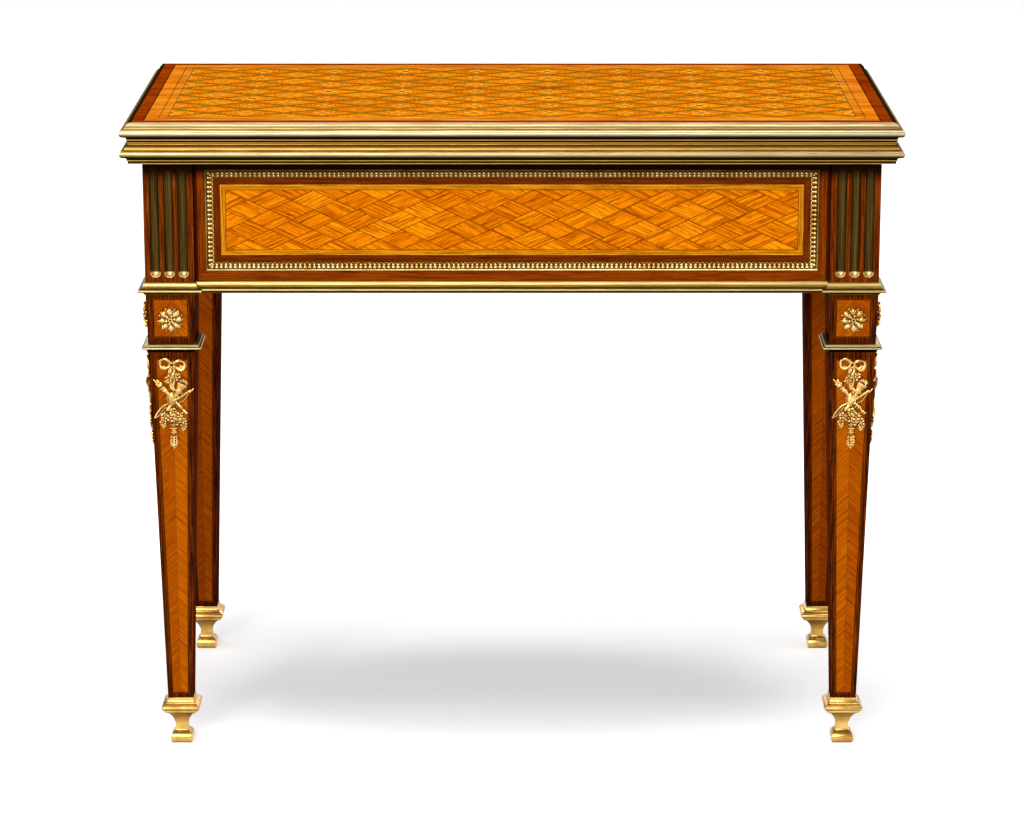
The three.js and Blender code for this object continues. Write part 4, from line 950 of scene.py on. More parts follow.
metalLook = {
    "runStreaks": 0.03,  # per mm: streaks of 33 mm along a drawn strip
    "upStreaks": (0.9, 0.9, 0.02),  # per mm: the same, upright in the flutes
    "drawnWear": 0.55,
    "castWear": 0.035,  # per mm: clouds of wear, 29 mm
    "grain": 1.1,  # per mm: pits of 0.9 mm, coarser than real ones, which don't show
    # painted dark reflection on the slopes of the side edges
    "paintedDarkSlope": [(0.70, "6E5A2A"), (0.85, "8E7644"), (0.89, "30220E"), (0.98, "1E1408")],
    # painted highlights and painted shade, with dirt in the quirks, over each repeat of a moulding by height
    # in mm: fillets, hollow, bead and slope
    "lowerEdge": [
        (0.0, "BB9A48"), (1.5, "BB9A48"), (1.8, "0E0702"), (3.4, "160C03"), (3.8, "BBA57B"),
        (4.9, "B3986B"), (5.3, "0D0602"), (7.6, "211607"), (8.8, "736642"), (11.0, "A49A7D"),
        (14.2, "BEBEBE"), (15.8, "AA9E80"), (16.6, "70592C"), (17.4, "94784A"), (18.8, "C09C60"),
        (19.8, "FFD070"), (21.3, "FFF0C0"), (22.6, "FFD070"), (23.1, "A07C40"), (23.4, "958A6C"),
    ],
    "upperEdge": [
        (0.0, "E8B458"), (1.5, "E8B458"), (1.8, "1E1004"), (3.4, "301A08"), (3.8, "ECC890"),
        (4.9, "E0BC80"), (5.3, "140A02"), (7.6, "2A1C0C"), (8.8, "8E7A50"), (11.0, "DCD0B4"),
        (14.4, "FFFFFF"), (16.0, "ECDCB8"), (16.6, "6A5222"), (17.4, "9C8448"), (18.4, "BCAC84"),
        (20.6, "DED0AE"), (22.2, "CCBE9A"), (23.0, "8C7E58"), (23.4, "C8B890"),
    ],
    "edgePitch": 24.0,
    "edgeFeet": {"lower": 712.3, "upper": 736.3},
    "frameMoulding": [
        (0, "7C6838"), (2.7, "443212"), (3.2, "FFF2CC"), (6.1, "F4E2B4"), (6.7, "4C3816"), (7.6, "96804E"),
        (9.6, "CCB684"), (12.4, "FFF4D4"), (13.8, "E8D4A0"), (14.3, "A48C54"),
    ],
    "mouldingPitch": 14.8,
    "collar": [
        (0, "140C04"), (3.9, "140C04"), (4.4, "E8D8B0"), (5.6, "FFFFFF"), (6.9, "8A7848"), (7.4, "F0E8D0"),
    ],
    "collarPitch": 12.0,
    # painted highlight at the lower tips of the flute linings
    "fluteLitTips": (583.0, "CDB078"),
}
frameFootZ = boxOf("frame_moulding_front")[0].z
collarFootZ = boxOf("collar_front_left")[0].z
# drawn brass, with painted highlights on the beads and painted shade and dirt in the quirks; each leaf's edge
# is a lighter or darker painted copy of the same brass
edgeBrass = {}
for leaf, pale, deep in (("lower", "E8D2A0", "C8AE78"), ("upper", "BCB296", "A09474")):
    for run in ("front", "side"):
        edgeBrass[leaf, run] = metalMaterial(
            f"brass_drawn_{run}_edge_of_{leaf}_leaf", pale, deep, "140A02", roughness=0.34, hollowReach=5.0,
            drawn=True, shadeBelowShare=0.85, paintedDarkSlope=run == "side",
            highlightShadeAndDirtBands=(metalLook["edgeFeet"][leaf], metalLook["edgePitch"], metalLook[leaf + "Edge"]),
        )
# cast brass of the frame: satin, with painted highlights on the beads and painted shade under them
mouldBrass = metalMaterial(
    "brass_cast_moulding_satin", "B8A678", "9C8A5E", "120A02", roughness=0.36, hollowReach=3.0, drawn=True,
    shadeBelowShare=0.95, highlightShadeAndDirtBands=(frameFootZ, metalLook["mouldingPitch"], metalLook["frameMoulding"]),
)
# the collars: a paler painted copy of the same brass, with a painted black shadow in the cove below and
# painted highlights on the bead
collarBrass = metalMaterial(
    "brass_cast_collar_satin", "C0AE84", "9C8A62", "120A02", roughness=0.36, hollowReach=3.0, drawn=True,
    shadeBelowShare=0.95, highlightShadeAndDirtBands=(collarFootZ, metalLook["collarPitch"], metalLook["collar"]),
)
# sheet brass pressed into the flutes: brown where no hand reaches, with painted shadow under the top and a
# painted highlight at the lower tips
linerBrass = metalMaterial(
    "brass_flute_lining_dull", "503A16", "2C1C08", "1A0E02", roughness=0.42, hollowReach=1.6, drawn="up",
    patinaAndShadeShare=0.3, litTips=metalLook["fluteLitTips"], shaded=True,
)
# rolled brass: even, with a little tarnish and painted shade in the corners, and painted shade on faces that
# look down
hingeBrass = metalMaterial(
    "brass_rolled_hinge", "B89C62", "98793C", "2A1A06", roughness=0.3, hollowReach=3.0
)
# bronze, cast, chased and mercury gilt: deep gold with burnished tips, brown hollows from patina and painted
# shade, and painted shade on the faces that don't look up
gilt = metalMaterial(
    "bronze_mercury_gilt_chased", "FFCE78", "CC8E34", "42240A", roughness=0.16, hollowReach=4.5,
    shadeBelowShare=0.8, scratch=0.5, hollows=(0.94, 0.5), lowFaces=(0.3, -0.75), burnish=0.3,
)
# the beads: burnished, with painted shadow close under the top
beadGilt = metalMaterial(
    "bronze_gilt_beads_burnished", "F0D08C", "D8A850", "2A1402", roughness=0.2, hollowReach=2.2, shaded=True
)
# the same gilding: matted and darkened as painted shade under the beads, darkened as painted shade on their
# outer fillet except at the foot, and satin on the feet
seatGilt = metalMaterial(
    "bronze_gilt_matted_ground_painted_shade", "6A4410", "4A2C08", "1E0E02", roughness=0.4, hollowReach=2.0
)
bandGilt = metalMaterial(
    "bronze_gilt_strip_painted_shade", "8A6A30", "64481A", "1E0E02", roughness=0.36, hollowReach=2.0, shaded=True
)
sabotGilt = metalMaterial(
    "bronze_gilt_cast_satin", "DDB262", "B48840", "3A2206", roughness=0.27, hollowReach=7.0
)
# forged iron, oiled: dark grey, brown in the corners from patina and painted shade, with painted shade on
# faces that look down
iron = metalMaterial("iron_forged_oiled", "6E6C69", "4A4846", "2A221C", roughness=0.5, hollowReach=3.0)

oak = oakMaterial()
finishes = {
    "upper_leaf": topMaterial(), "lower_leaf": lowerLeafMaterial(), "rail_": railMaterial(),
    "leg_": legMaterial(), "middle_rail": oak, "well_floor": oak, "pivot_board": oak,
    "hinge_plate_": hingeBrass, "hinge_pin_": iron, "swivel_": iron,
}
for name, obj in nodes.items():
    for start, material in finishes.items():
        if name.startswith(start):
            obj.data.materials.clear()
            obj.data.materials.append(material)
print("woods and metals ready")


seatGap = 0.3  # mm between a piece and what carries it, as in the CAD

# brass edges of the two leaves
edgeShape = {"mitre": 0.15, "reach": 13.0, "beadRadius": 4.5, "beadHeight": 12.3}


def edgeProfile():
    # two small fillets, undercut, bead, quirk and swelling slope, from the foot up
    bead = edgeShape["beadRadius"]
    beadX, beadZ = edgeShape["reach"] - bead, edgeShape["beadHeight"]
    line = [(0, 0), (3.6, 0), (4.2, 0.35), (4.2, 1.3), (3.9, 1.7), (3.9, 3.2)]
    line += [(4.6, 3.5), (5.2, 3.9), (5.2, 4.8), (4.9, 5.2)]
    line += bend((4.9, 5.2), (5.2, 7.0), (7.6, 7.5), 5)
    line += arc(beadX, beadZ, bead, -96, 84, 16)
    line += [(7.9, 16.8), (7.7, 17.3)]
    line += bend((7.7, 17.3), (7.0, 20.8), (3.9, 22.5), 10)
    line += [(3.6, 22.7), (3.5, 23.4), (3.2, 23.7), (0, 23.7)]
    return line


for leaf, body in (("lower", "lower_top"), ("upper", "upper_top")):
    low, high = boxOf(leaf + "_leaf")
    half, front, back = high.x + seatGap, low.y - seatGap, high.y
    end, sideFront = half - edgeShape["mitre"], front + edgeShape["mitre"]
    # the first and last point of a run, a good way off, only set the angle of its cut
    off = 400
    paths = {
        "front": [(-end, front + off), (-end, front), (end, front), (end, front + off)],
        "right": [(half - off, sideFront), (half, sideFront), (half, back), (half, back + off)],
        "left": [(-half, back + off), (-half, back), (-half, sideFront), (off - half, sideFront)],
    }
    for side, path in paths.items():
        points, faces = sweep(edgeProfile(), path)
        points = [(x, y, z + low.z) for x, y, z in points]
        node = f"{leaf}_edge_{side}"
        metal = edgeBrass[leaf, "front" if side == "front" else "side"]
        settle(makePiece(node + "_brass", points, faces, metal), body, "edge_brass", node)
print("brass edges made")


# moulding round the foot of the frame, and collars
mouldShape = {"height": 14.4, "reach": 8.2, "bead": 1.8, "beadHeight": 4.9}
collarShape = {"height": 9.5, "reach": 7.2, "cove": 3.9, "bead": 1.4, "step": 2.3}


def cavettoProfile(shape):
    # cove below, bead, then a hollow with a small listel up to the fillet
    height, reach, bead, spot = shape["height"], shape["reach"], shape["bead"], shape["beadHeight"]
    lip, out = reach / 8, reach - bead
    line = [(0, 0), (lip, 0)] + bend((lip, 0), (lip, spot - bead), (out, spot - bead), 6)
    line += arc(out, spot, bead, -90, 90, 10)[1:]
    step = spot + bead
    line += [(out - bead * 0.7, step + 0.1), (out - bead * 0.7, step + 0.7)]
    line += bend((out - bead * 0.7, step + 0.7), (lip * 2.2, step + 1.4), (lip * 1.5, height - 1.5), 7)
    line += [(lip, height - 1.1), (lip, height - 0.3), (lip * 0.6, height), (0, height)]
    return line


def collarProfile():
    # hollow below, a bead, a quirk and a thin reeded band set back above it
    reach, cove, bead = collarShape["reach"], collarShape["cove"], collarShape["bead"]
    back = reach - collarShape["step"]
    line = [(0, 0), (1, 0)] + bend((1, 0.2), (1.2, cove - 0.2), (reach - bead, cove), 7)
    line += arc(reach - bead, cove + bead, bead, -88, 86, 9)
    line += [(back, cove + 2 * bead + 0.1), (back + 0.1, cove + 2 * bead + 0.5)]
    top = collarShape["height"]
    line += [(back, top - 1.2), (back - 0.5, top - 1), (back - 0.4, top - 0.3), (back - 0.8, top), (0, top)]
    return line


legPlaces = {}
for name in ("front_left", "front_right", "back_left", "back_right"):
    low, high = boxOf("leg_" + name)
    legPlaces[name] = ((low.x + high.x) / 2, (low.y + high.y) / 2)
legTurns = {"front_left": 0, "front_right": 90, "back_right": 180, "back_left": -90}
# middle of each rail's outer face, its turn and half its length
railFaces = {
    "front": (0, boxOf("rail_front")[0].y, 0, railHalf),
    "back": (0, boxOf("rail_back")[1].y, 180, railHalf),
    "left": (boxOf("rail_left")[0].x, frameMiddleY, -90, railSideHalf),
    "right": (boxOf("rail_right")[1].x, frameMiddleY, 90, railSideHalf),
}
profile = cavettoProfile(mouldShape)
for side, (x, y, turn, half) in railFaces.items():
    half -= seatGap
    points, faces = sweep(profile, [(-half, -half), (-half, 0), (half, 0), (half, -half)])
    points = turned([(px, py - seatGap, pz) for px, py, pz in points], turn, x, y, frameFootZ)
    node = "frame_moulding_" + side
    settle(makePiece(node + "_brass", points, faces, mouldBrass), "frame", "edge_brass", node)
# round each block from rail to rail
railSetBack = 9  # mm from the blocks' faces to the rails'
out, inner = blockSize / 2 + seatGap, -blockSize / 2 + railSetBack - seatGap
blockPath = [
    (inner, blockSize), (inner, out), (-out, out), (-out, -out), (out, -out), (out, inner), (blockSize, inner)
]
for name, (x, y) in legPlaces.items():
    points, faces = sweep(profile, blockPath)
    points = turned(points, legTurns[name], x, y, frameFootZ)
    node = "block_moulding_" + name
    settle(makePiece(node + "_brass", points, faces, mouldBrass), "frame", "edge_brass", node)
    low, high = boxOf("collar_" + name)
    half = (high.x - low.x) / 2 - collarShape["reach"]
    ring = [(-half, -half), (half, -half), (half, half), (-half, half)]
    points, faces = sweep(collarProfile(), ring, closed=True)
    points = turned(points, 0, x, y, low.z)
    node = "collar_" + name
    settle(makePiece(node + "_brass", points, faces, collarBrass), "frame", "edge_brass", node)
print("mouldings and collars made")


# cast feet
sabotShape = {"corner": 0.9, "cornerSteps": 3}


def sabotProfile():
    # half widths and heights, from the socket rim out and down to the sole
    line = [(10.8, 44.7), (10.8, 57.6), (11.2, 58), (15.4, 58), (15.8, 57.6)]
    line += bend((15.8, 56.6), (16.4, 51.4), (20.0, 50.6), 8) + [(20.4, 50.4), (20.4, 49.8)]
    line += arc(19.7, 46.4, 3.1, 84, -84, 12) + [(19.7, 43.1), (19.7, 40.9)]
    line += bend((19.4, 40.7), (10.6, 36.6), (7.7, 24.5), 12) + bend((7.5, 22), (7.4, 17), (8.0, 14.9), 5)
    line += bend((8.6, 14.2), (11.6, 12.6), (12.8, 8.4), 8) + bend((13, 7.6), (13.1, 4), (12.3, 1.6), 5)
    line += [(11.6, 0.4), (11.2, 0)]
    return line


def squareLathe(line, corner, steps):
    # a square turning with softly rounded corners, closed at both ends
    points, faces = [], []
    for half, z in line:
        ease = min(corner, half * 0.4)
        for quarter in range(4):
            corners = arc(half - ease, half - ease, ease, 0, 90, steps)
            points += turned([(px, py, z) for px, py in corners], quarter * 90)
    around = 4 * (steps + 1)
    for row in range(len(line) - 1):
        for i in range(around):
            j = (i + 1) % around
            faces.append((row * around + i, row * around + j, (row + 1) * around + j, (row + 1) * around + i))
    faces += [tuple(range(around)), tuple((len(line) - 1) * around + i for i in range(around))]
    return points, faces


for name, (x, y) in legPlaces.items():
    points, faces = squareLathe(sabotProfile(), sabotShape["corner"], sabotShape["cornerSteps"])
    node = "sabot_" + name
    settle(makePiece(node + "_cast", turned(points, 0, x, y), faces, sabotGilt), "frame", "gilt_bronze", node)
print("feet made")


# brass linings of the flutes
linerShape = {
    "width": 11.0,
    "depth": 4.05,
    "wall": 0.3,
    "lip": 0.55,
    "proud": 0.12,
    "pitch": 16.3,
    "length": 128.3,
    "aboveMoulding": 6.0,
    "rings": 8,
    "sides": 16,
}


def linerMesh():
    # one lining: a long hollow with round ends and a thin lip on the wood, closed as a thin shell
    radius, depth, wall = linerShape["width"] / 2, linerShape["depth"], linerShape["wall"]
    straight = linerShape["length"] / 2 - radius - wall
    rings = linerShape["rings"]
    stations = []
    for sign, start, end in ((-1, -90, 0), (1, 0, 90)):
        for i in range(rings + 1):
            c, s = direction(start + (end - start) * i / rings)
            stations.append((c, sign * straight + radius * s))
    points, faces = [], []
    sides = linerShape["sides"]
    for grow in (0.0, wall):
        for share, z in stations:
            reach = radius * share
            for j in range(sides + 1):
                c, s = direction(180 * j / sides)
                points.append((-reach * c * (1 + grow / radius), (depth + grow) * share * s, z))
    rows = len(stations)
    width = sides + 1
    for shell in (0, 1):
        for i in range(rows - 1):
            for j in range(sides):
                a = shell * rows * width + i * width + j
                faces.append((a, a + 1, a + width + 1, a + width))
    # lip from the hollow's rim outwards
    rim = [i * width for i in range(rows)] + [i * width + sides for i in reversed(range(rows))]
    first = len(points)
    for index in rim:
        x, y, z = points[index]
        share, along = stations[index // width]
        endward = 0 if abs(along) <= straight else (abs(along) - straight) / radius * math.copysign(1, along)
        side = -1 if index % width == 0 else 1
        length = math.hypot(share, endward) or 1
        lip = linerShape["lip"]
        points.append((x + side * lip * share / length, -linerShape["proud"], z + lip * endward / length))
    count = len(rim)
    back = rows * width
    for k in range(count):
        m = (k + 1) % count
        faces.append((rim[k], rim[m], first + m, first + k))
        faces.append((back + rim[k], back + rim[m], first + m, first + k))
    return points, faces


def copiesTree():
    # sets a copy of an object on each point, turned by the point's own angles, in one finish
    tree = geometryTree("copiesOnPoints", [("Copy", "Object"), ("Finish", "Material")])
    given = tree.nodes.new("NodeGroupInput").outputs
    shape = addNode(tree, "GeometryNodeObjectInfo", given["Copy"], out="Geometry")
    angles = addNode(tree, "GeometryNodeInputNamedAttribute", ("Name", "turn"), data_type="FLOAT_VECTOR")
    placed = addNode(
        tree, "GeometryNodeInstanceOnPoints", given["Geometry"], ("Instance", shape), ("Rotation", angles)
    )
    real = addNode(tree, "GeometryNodeRealizeInstances", placed)
    done = addNode(tree, "GeometryNodeSetMaterial", real, ("Material", given["Finish"]))
    output = tree.nodes.new("NodeGroupOutput")
    tree.links.new(done, output.inputs[0])
    return tree


copiesOnPoints = copiesTree()


def copyTo(name, points, faces, spots, material, sharp=32):
    # spots: places in mm and turns in degrees
    original = makePiece(name + ".original", points, faces, material, sharp)
    seeds = bpy.data.meshes.new(name + ".spots")
    seeds.from_pydata([tuple(c / 1000 for c in place) for place, turn in spots], [], [])
    turn = seeds.attributes.new("turn", "FLOAT_VECTOR", "POINT")
    turn.data.foreach_set("vector", [math.radians(a) for place, angles in spots for a in angles])
    piece = bake(name, copiesOnPoints, {"Copy": original, "Finish": material}, seeds)
    bpy.data.objects.remove(original)
    return piece


fluteFootZ = frameFootZ + mouldShape["height"] + linerShape["aboveMoulding"]
fluteMiddleZ = fluteFootZ + linerShape["length"] / 2
for name, (x, y) in legPlaces.items():
    spots = []
    sideX, sideY = math.copysign(1, x), math.copysign(1, y - frameMiddleY)
    for i in (-1, 0, 1):
        shift = i * linerShape["pitch"]
        spots.append(((x + shift, y + sideY * blockSize / 2, fluteMiddleZ), (0, 0, 0 if sideY < 0 else 180)))
        spots.append(((x + sideX * blockSize / 2, y + shift, fluteMiddleZ), (0, 0, 90 * sideX)))
    points, faces = linerMesh()
    settle(copyTo("flute_linings_" + name, points, faces, spots, linerBrass, 50), "frame", "edge_brass")
print("flute linings made")


# beaded frames of the friezes
beadShape = {
    "beadRadius": 2.3,
    "pitch": 5.4,
    "courseInset": 4.6,
    "lift": 0.9,
    "dropRadius": 1.75,
    "dropInset": 2.9,
    "stripWidth": 9.6,
    "seatDepth": 0.5,
    "filletDepth": 0.9,  # what stands out further than this is the outer fillet
    "unshadedFoot": 5,  # mm at the foot of the frame where that fillet is left without painted shade
}


def beadTree():
    # a course of beads round a rectangle, each with a small drop on its inner side
    sockets = [(label, "Float") for label in ("Width", "Height", "Bead Radius", "Drop Radius", "Drop Inset")]
    sockets += [("Count", "Int"), ("Place", "Vector"), ("Turn", "Vector"), ("Finish", "Material")]
    tree = geometryTree("beadCourse", sockets)
    given = tree.nodes.new("NodeGroupInput").outputs
    course = addNode(
        tree, "GeometryNodeCurvePrimitiveQuadrilateral", ("Width", given["Width"]),
        ("Height", given["Height"]),
    )
    even = addNode(tree, "GeometryNodeResampleCurve", ("Curve", course), ("Count", given["Count"]))
    dots, turns = addNode(
        tree, "GeometryNodeCurveToPoints", ("Curve", even), mode="EVALUATED", out=("Points", "Rotation")
    )
    bead, drop = (
        addNode(tree, "GeometryNodeMeshUVSphere", ("Segments", sides), ("Rings", rings), ("Radius", radius))
        for sides, rings, radius in ((8, 6, given["Bead Radius"]), (6, 5, given["Drop Radius"]))
    )
    inset = addNode(tree, "Math", given["Drop Inset"], -1.0, operation="MULTIPLY")
    aside = addNode(tree, "CombineXYZ", inset, 0.0, 0.0)
    drop = addNode(tree, "GeometryNodeTransform", drop, ("Translation", aside), ("Scale", (1.3, 1.1, 0.9)))
    pair = tree.nodes.new("GeometryNodeJoinGeometry")
    tree.links.new(bead, pair.inputs[0])
    tree.links.new(drop, pair.inputs[0])
    placed = addNode(
        tree, "GeometryNodeInstanceOnPoints", dots, ("Instance", pair.outputs[0]), ("Rotation", turns)
    )
    upright = addNode(
        tree, "GeometryNodeTransform", placed, ("Translation", given["Place"]), ("Rotation", given["Turn"])
    )
    real = addNode(tree, "GeometryNodeRealizeInstances", upright)
    smooth = addNode(tree, "GeometryNodeSetShadeSmooth", real)
    done = addNode(tree, "GeometryNodeSetMaterial", smooth, ("Material", given["Finish"]))
    output = tree.nodes.new("NodeGroupOutput")
    tree.links.new(done, output.inputs[0])
    return tree


beadCourse = beadTree()


def stripProfile():
    # the frame's strip: flat seat for the beads, then a raised outer fillet
    seat, width = beadShape["seatDepth"], beadShape["stripWidth"]
    line = [(0, 0), (0, 0.6), (0.4, 0.9), (0.8, seat), (7.3, seat), (7.4, 1.5)]
    line += bend((7.4, 1.5), (7.6, 2.3), (8.3, 2.4), 3) + bend((8.3, 2.4), (9.3, 2.4), (width, 1.2), 4)
    return line + [(width, 0)]


def joinInto(piece, other):
    # adds another mesh to a piece, in the piece's first material
    other.data.polygons.foreach_set("material_index", [0] * len(other.data.polygons))
    shape = bmesh.new()
    shape.from_mesh(piece.data)
    shape.from_mesh(other.data)
    shape.to_mesh(piece.data)
    shape.free()
    bpy.data.objects.remove(other)
    return piece


low, high = boxOf("beaded_frame_front")
sideLow, sideHigh = boxOf("beaded_frame_left")
height, middleZ = high.z - low.z, (high.z + low.z) / 2
stripWidths = {"front": high.x - low.x, "left": sideHigh.y - sideLow.y}
stripWidths.update(back=stripWidths["front"], right=stripWidths["left"])
# the outer fillet is darkened as painted shade above this height
shadedFrom = middleZ - height / 2 + beadShape["unshadedFoot"]
for side, (x, y, turn, half) in railFaces.items():
    width = stripWidths[side]
    hw, hh = width / 2 - beadShape["stripWidth"], height / 2 - beadShape["stripWidth"]
    points, faces = sweep(stripProfile(), [(-hw, -hh), (hw, -hh), (hw, hh), (-hw, hh)], closed=True)
    points = [(px, -pz - seatGap, py) for px, py, pz in points]
    node = "beaded_frame_" + side
    strip = makePiece(node + "_chased", turned(points, turn, x, y, middleZ), faces, beadGilt)
    # the ground under the beads is matted and darkened as painted shade, and the fillet outside them darkened
    # as painted shade above its foot
    strip.data.materials.append(seatGilt)
    strip.data.materials.append(bandGilt)
    spin = math.radians(turn)
    out = Vector((math.sin(spin), -math.cos(spin), 0))
    for face in strip.data.polygons:
        depth = (face.center * 1000 - Vector((x, y, 0))).dot(out) - seatGap
        onSeat = abs(depth - beadShape["seatDepth"]) < 0.15
        onBand = depth > beadShape["filletDepth"] and face.center.z * 1000 > shadedFrom
        face.material_index = 1 if onSeat else 2 * onBand
    courseWidth, courseHeight = width - 2 * beadShape["courseInset"], height - 2 * beadShape["courseInset"]
    lift = seatGap + beadShape["lift"]
    beads = bake(
        node + "_beads", beadCourse,
        {
            "Width": courseWidth / 1000, "Height": courseHeight / 1000,
            "Count": round(2 * (courseWidth + courseHeight) / beadShape["pitch"]),
            "Bead Radius": beadShape["beadRadius"] / 1000, "Drop Radius": beadShape["dropRadius"] / 1000,
            "Drop Inset": beadShape["dropInset"] / 1000,
            "Place": ((x + lift * math.sin(spin)) / 1000, (y - lift * math.cos(spin)) / 1000, middleZ / 1000),
            "Turn": (math.pi / 2, 0.0, spin), "Finish": beadGilt,
        },
    )
    settle(joinInto(strip, beads), "frame", "gilt_bronze", *([node] if node in nodes else []))
print("beaded frames made")


# playing cloths
clothLook = {
    "across": 120,
    "deep": 60,
    "nap": 0.05,  # mm
    "fibres": 1.6,  # per mm: tufts of 0.6 mm
    "patches": 0.02,  # per mm: worn patches of 50 mm
    "napTones": [(0.3, "10351D"), (0.7, "215232")],
    "patchTone": "2C5C3A",
    "sheen": "80A878",
}
baize, tree = newMaterial("baize_felted_wool")
# green felted wool: matt with a fine mottled nap and a soft sheen at low angles
place = objectPlace(tree)
fibres = addNode(
    tree, "TexNoise", ("Vector", place), ("Scale", clothLook["fibres"]), ("Detail", 4.0), ("Roughness", 0.75)
)
patches = addNode(tree, "TexNoise", ("Vector", place), ("Scale", clothLook["patches"]), ("Detail", 3.0))
patches = addNode(tree, "MapRange", patches, ("To Max", 0.35))
color = addNode(tree, "ValToRGB", fibres, stops=clothLook["napTones"])
color = addNode(tree, "Mix", patches, (6, color), (7, rgb(clothLook["patchTone"])), **asColor)
relief = addNode(tree, "Bump", ("Strength", 0.5), ("Distance", 0.0004), ("Height", fibres))
showSurface(tree, addNode(
    tree, "BsdfPrincipled", ("Base Color", color), ("Roughness", 0.95), ("Normal", relief),
    ("Sheen Weight", 0.12), ("Sheen Roughness", 0.5), ("Sheen Tint", rgb(clothLook["sheen"])),
))
for leaf, body in (("lower", "lower_top"), ("upper", "upper_top")):
    low, high = boxOf(leaf + "_baize")
    across, deep = clothLook["across"], clothLook["deep"]
    nap = random.Random(4)
    points, faces = [], []
    for level, z in enumerate((low.z, high.z)):
        for j in range(deep + 1):
            for i in range(across + 1):
                rim = i in (0, across) or j in (0, deep)
                rough = 0 if rim else nap.random() * clothLook["nap"]
                inward = rough if level else -rough
                x, y = low.x + (high.x - low.x) * i / across, low.y + (high.y - low.y) * j / deep
                points.append((x, y, z - inward))
    width = across + 1
    layer = width * (deep + 1)
    for level in (0, 1):
        for j in range(deep):
            for i in range(across):
                a = level * layer + j * width + i
                faces.append((a, a + 1, a + width + 1, a + width))
    ring = list(range(width)) + [j * width + across for j in range(1, deep + 1)]
    ring += [deep * width + i for i in reversed(range(across))]
    ring += [j * width for j in reversed(range(1, deep))]
    for k, a in enumerate(ring):
        b = ring[(k + 1) % len(ring)]
        faces.append((a, b, b + layer, a + layer))
    cloth = makePiece(leaf + "_playing_cloth", points, faces, baize)
    settle(cloth, body, "baize", leaf + "_baize")
print("cloths made")


# chased mounts of the legs, drawn on a flat face: across to the right, up, and depth out of the face, in mm
def addRings(shape, rings):
    # joins rings of points into a closed skin
    points, faces = shape
    first, width = len(points), len(rings[0])
    for ring in rings:
        points.extend(ring)
    for i in range(len(rings) - 1):
        for j in range(width):
            k = (j + 1) % width
            a = first + i * width
            faces.append((a + j, a + k, a + width + k, a + width + j))
    faces.append(tuple(first + j for j in range(width)))
    faces.append(tuple(first + (len(rings) - 1) * width + j for j in range(width)))


def addTube(shape, path, radii, sides=8, squash=0.75):
    # a rod or ribbon along a path, with a radius at each point
    rings = []
    for i, point in enumerate(path):
        before, after = path[max(i - 1, 0)], path[min(i + 1, len(path) - 1)]
        run = math.hypot(after[0] - before[0], after[1] - before[1]) or 1
        sideways = ((after[1] - before[1]) / run, (before[0] - after[0]) / run)
        radius = radii[i] if isinstance(radii, list) else radii
        ring = []
        for j in range(sides):
            c, s = direction(360 * j / sides)
            out = radius * c
            ring.append((
                point[0] + sideways[0] * out, point[1] + sideways[1] * out, point[2] + radius * squash * s
            ))
        rings.append(ring)
    addRings(shape, rings)


def curveThrough(points, steps=5):
    # a smooth line through points
    line = []
    for i in range(len(points) - 1):
        a, b, c, d = points[max(i - 1, 0)], points[i], points[i + 1], points[min(i + 2, len(points) - 1)]
        for n in range(steps):
            t = n / steps
            line.append(tuple(
                q + t / 2 * (r - p + t * (2 * p - 5 * q + 4 * r - s + t * (3 * q - p - 3 * r + s)))
                for p, q, r, s in zip(a, b, c, d)
            ))
    return line + [points[-1]]


def addBall(shape, place, radius, squash=0.8, sides=8):
    # a flattened ball
    rings = []
    for i in range(1, 6):
        up, out = direction(30 * i)
        ring = []
        for j in range(sides):
            c, s = direction(360 * j / sides)
            ring.append((
                place[0] + radius * out * c, place[1] + radius * out * s, place[2] + radius * squash * up
            ))
        rings.append(ring)
    addRings(shape, rings)


def addTurning(shape, start, end, profile, squash=0.7, sides=10):
    # a turned form laid on the face: (share of the way, radius) pairs from start to end
    path = [tuple(a + (b - a) * share for a, b in zip(start, end)) for share, radius in profile]
    addTube(shape, path, [radius for share, radius in profile], sides, squash)


def addLeaf(shape, place, length, width, turn, rise=1.5, thick=1.0, groove=0.35, steps=7, belly=0.85):
    # a pointed leaf or petal with a groove down its middle, arched away from the face
    c, s = direction(turn)
    # the leaf's section: (share of the half width, share of the thickness)
    section = ((-1, 0.1), (-0.55, 0.95), (0, 1 - groove), (0.55, 0.95), (1, 0.1), (0.5, -0.5), (-0.5, -0.5))
    rings = []
    for i in range(steps + 1):
        t = i / steps
        half = width / 2 * max(math.sin(math.pi * (0.08 + 0.88 * t) ** belly), 0.06)
        lift = place[2] + rise * math.sin(math.pi * 0.8 * t)
        ring = []
        for share, level in section:
            along, across = length * t, half * share
            ring.append((
                place[0] + c * along - s * across, place[1] + s * along + c * across,
                lift + thick * level * (0.4 + 0.6 * math.sin(math.pi * (0.15 + 0.7 * t))),
            ))
        rings.append(ring)
    addRings(shape, rings)


def addFlower(shape, place, radius, petals, turn=0, rise=1.0):
    # broad petals round a small button
    x, y, z = place
    root = radius * 0.16
    for i in range(petals):
        angle = turn + 360 * i / petals
        c, s = direction(angle)
        start = (x + root * c, y + root * s, z)
        addLeaf(shape, start, radius * 0.92, radius * 5.2 / petals, angle, rise, radius * 0.34, -0.1, 6, 1.3)
    addBall(shape, (x, y, z + rise * 0.9), radius * 0.3)


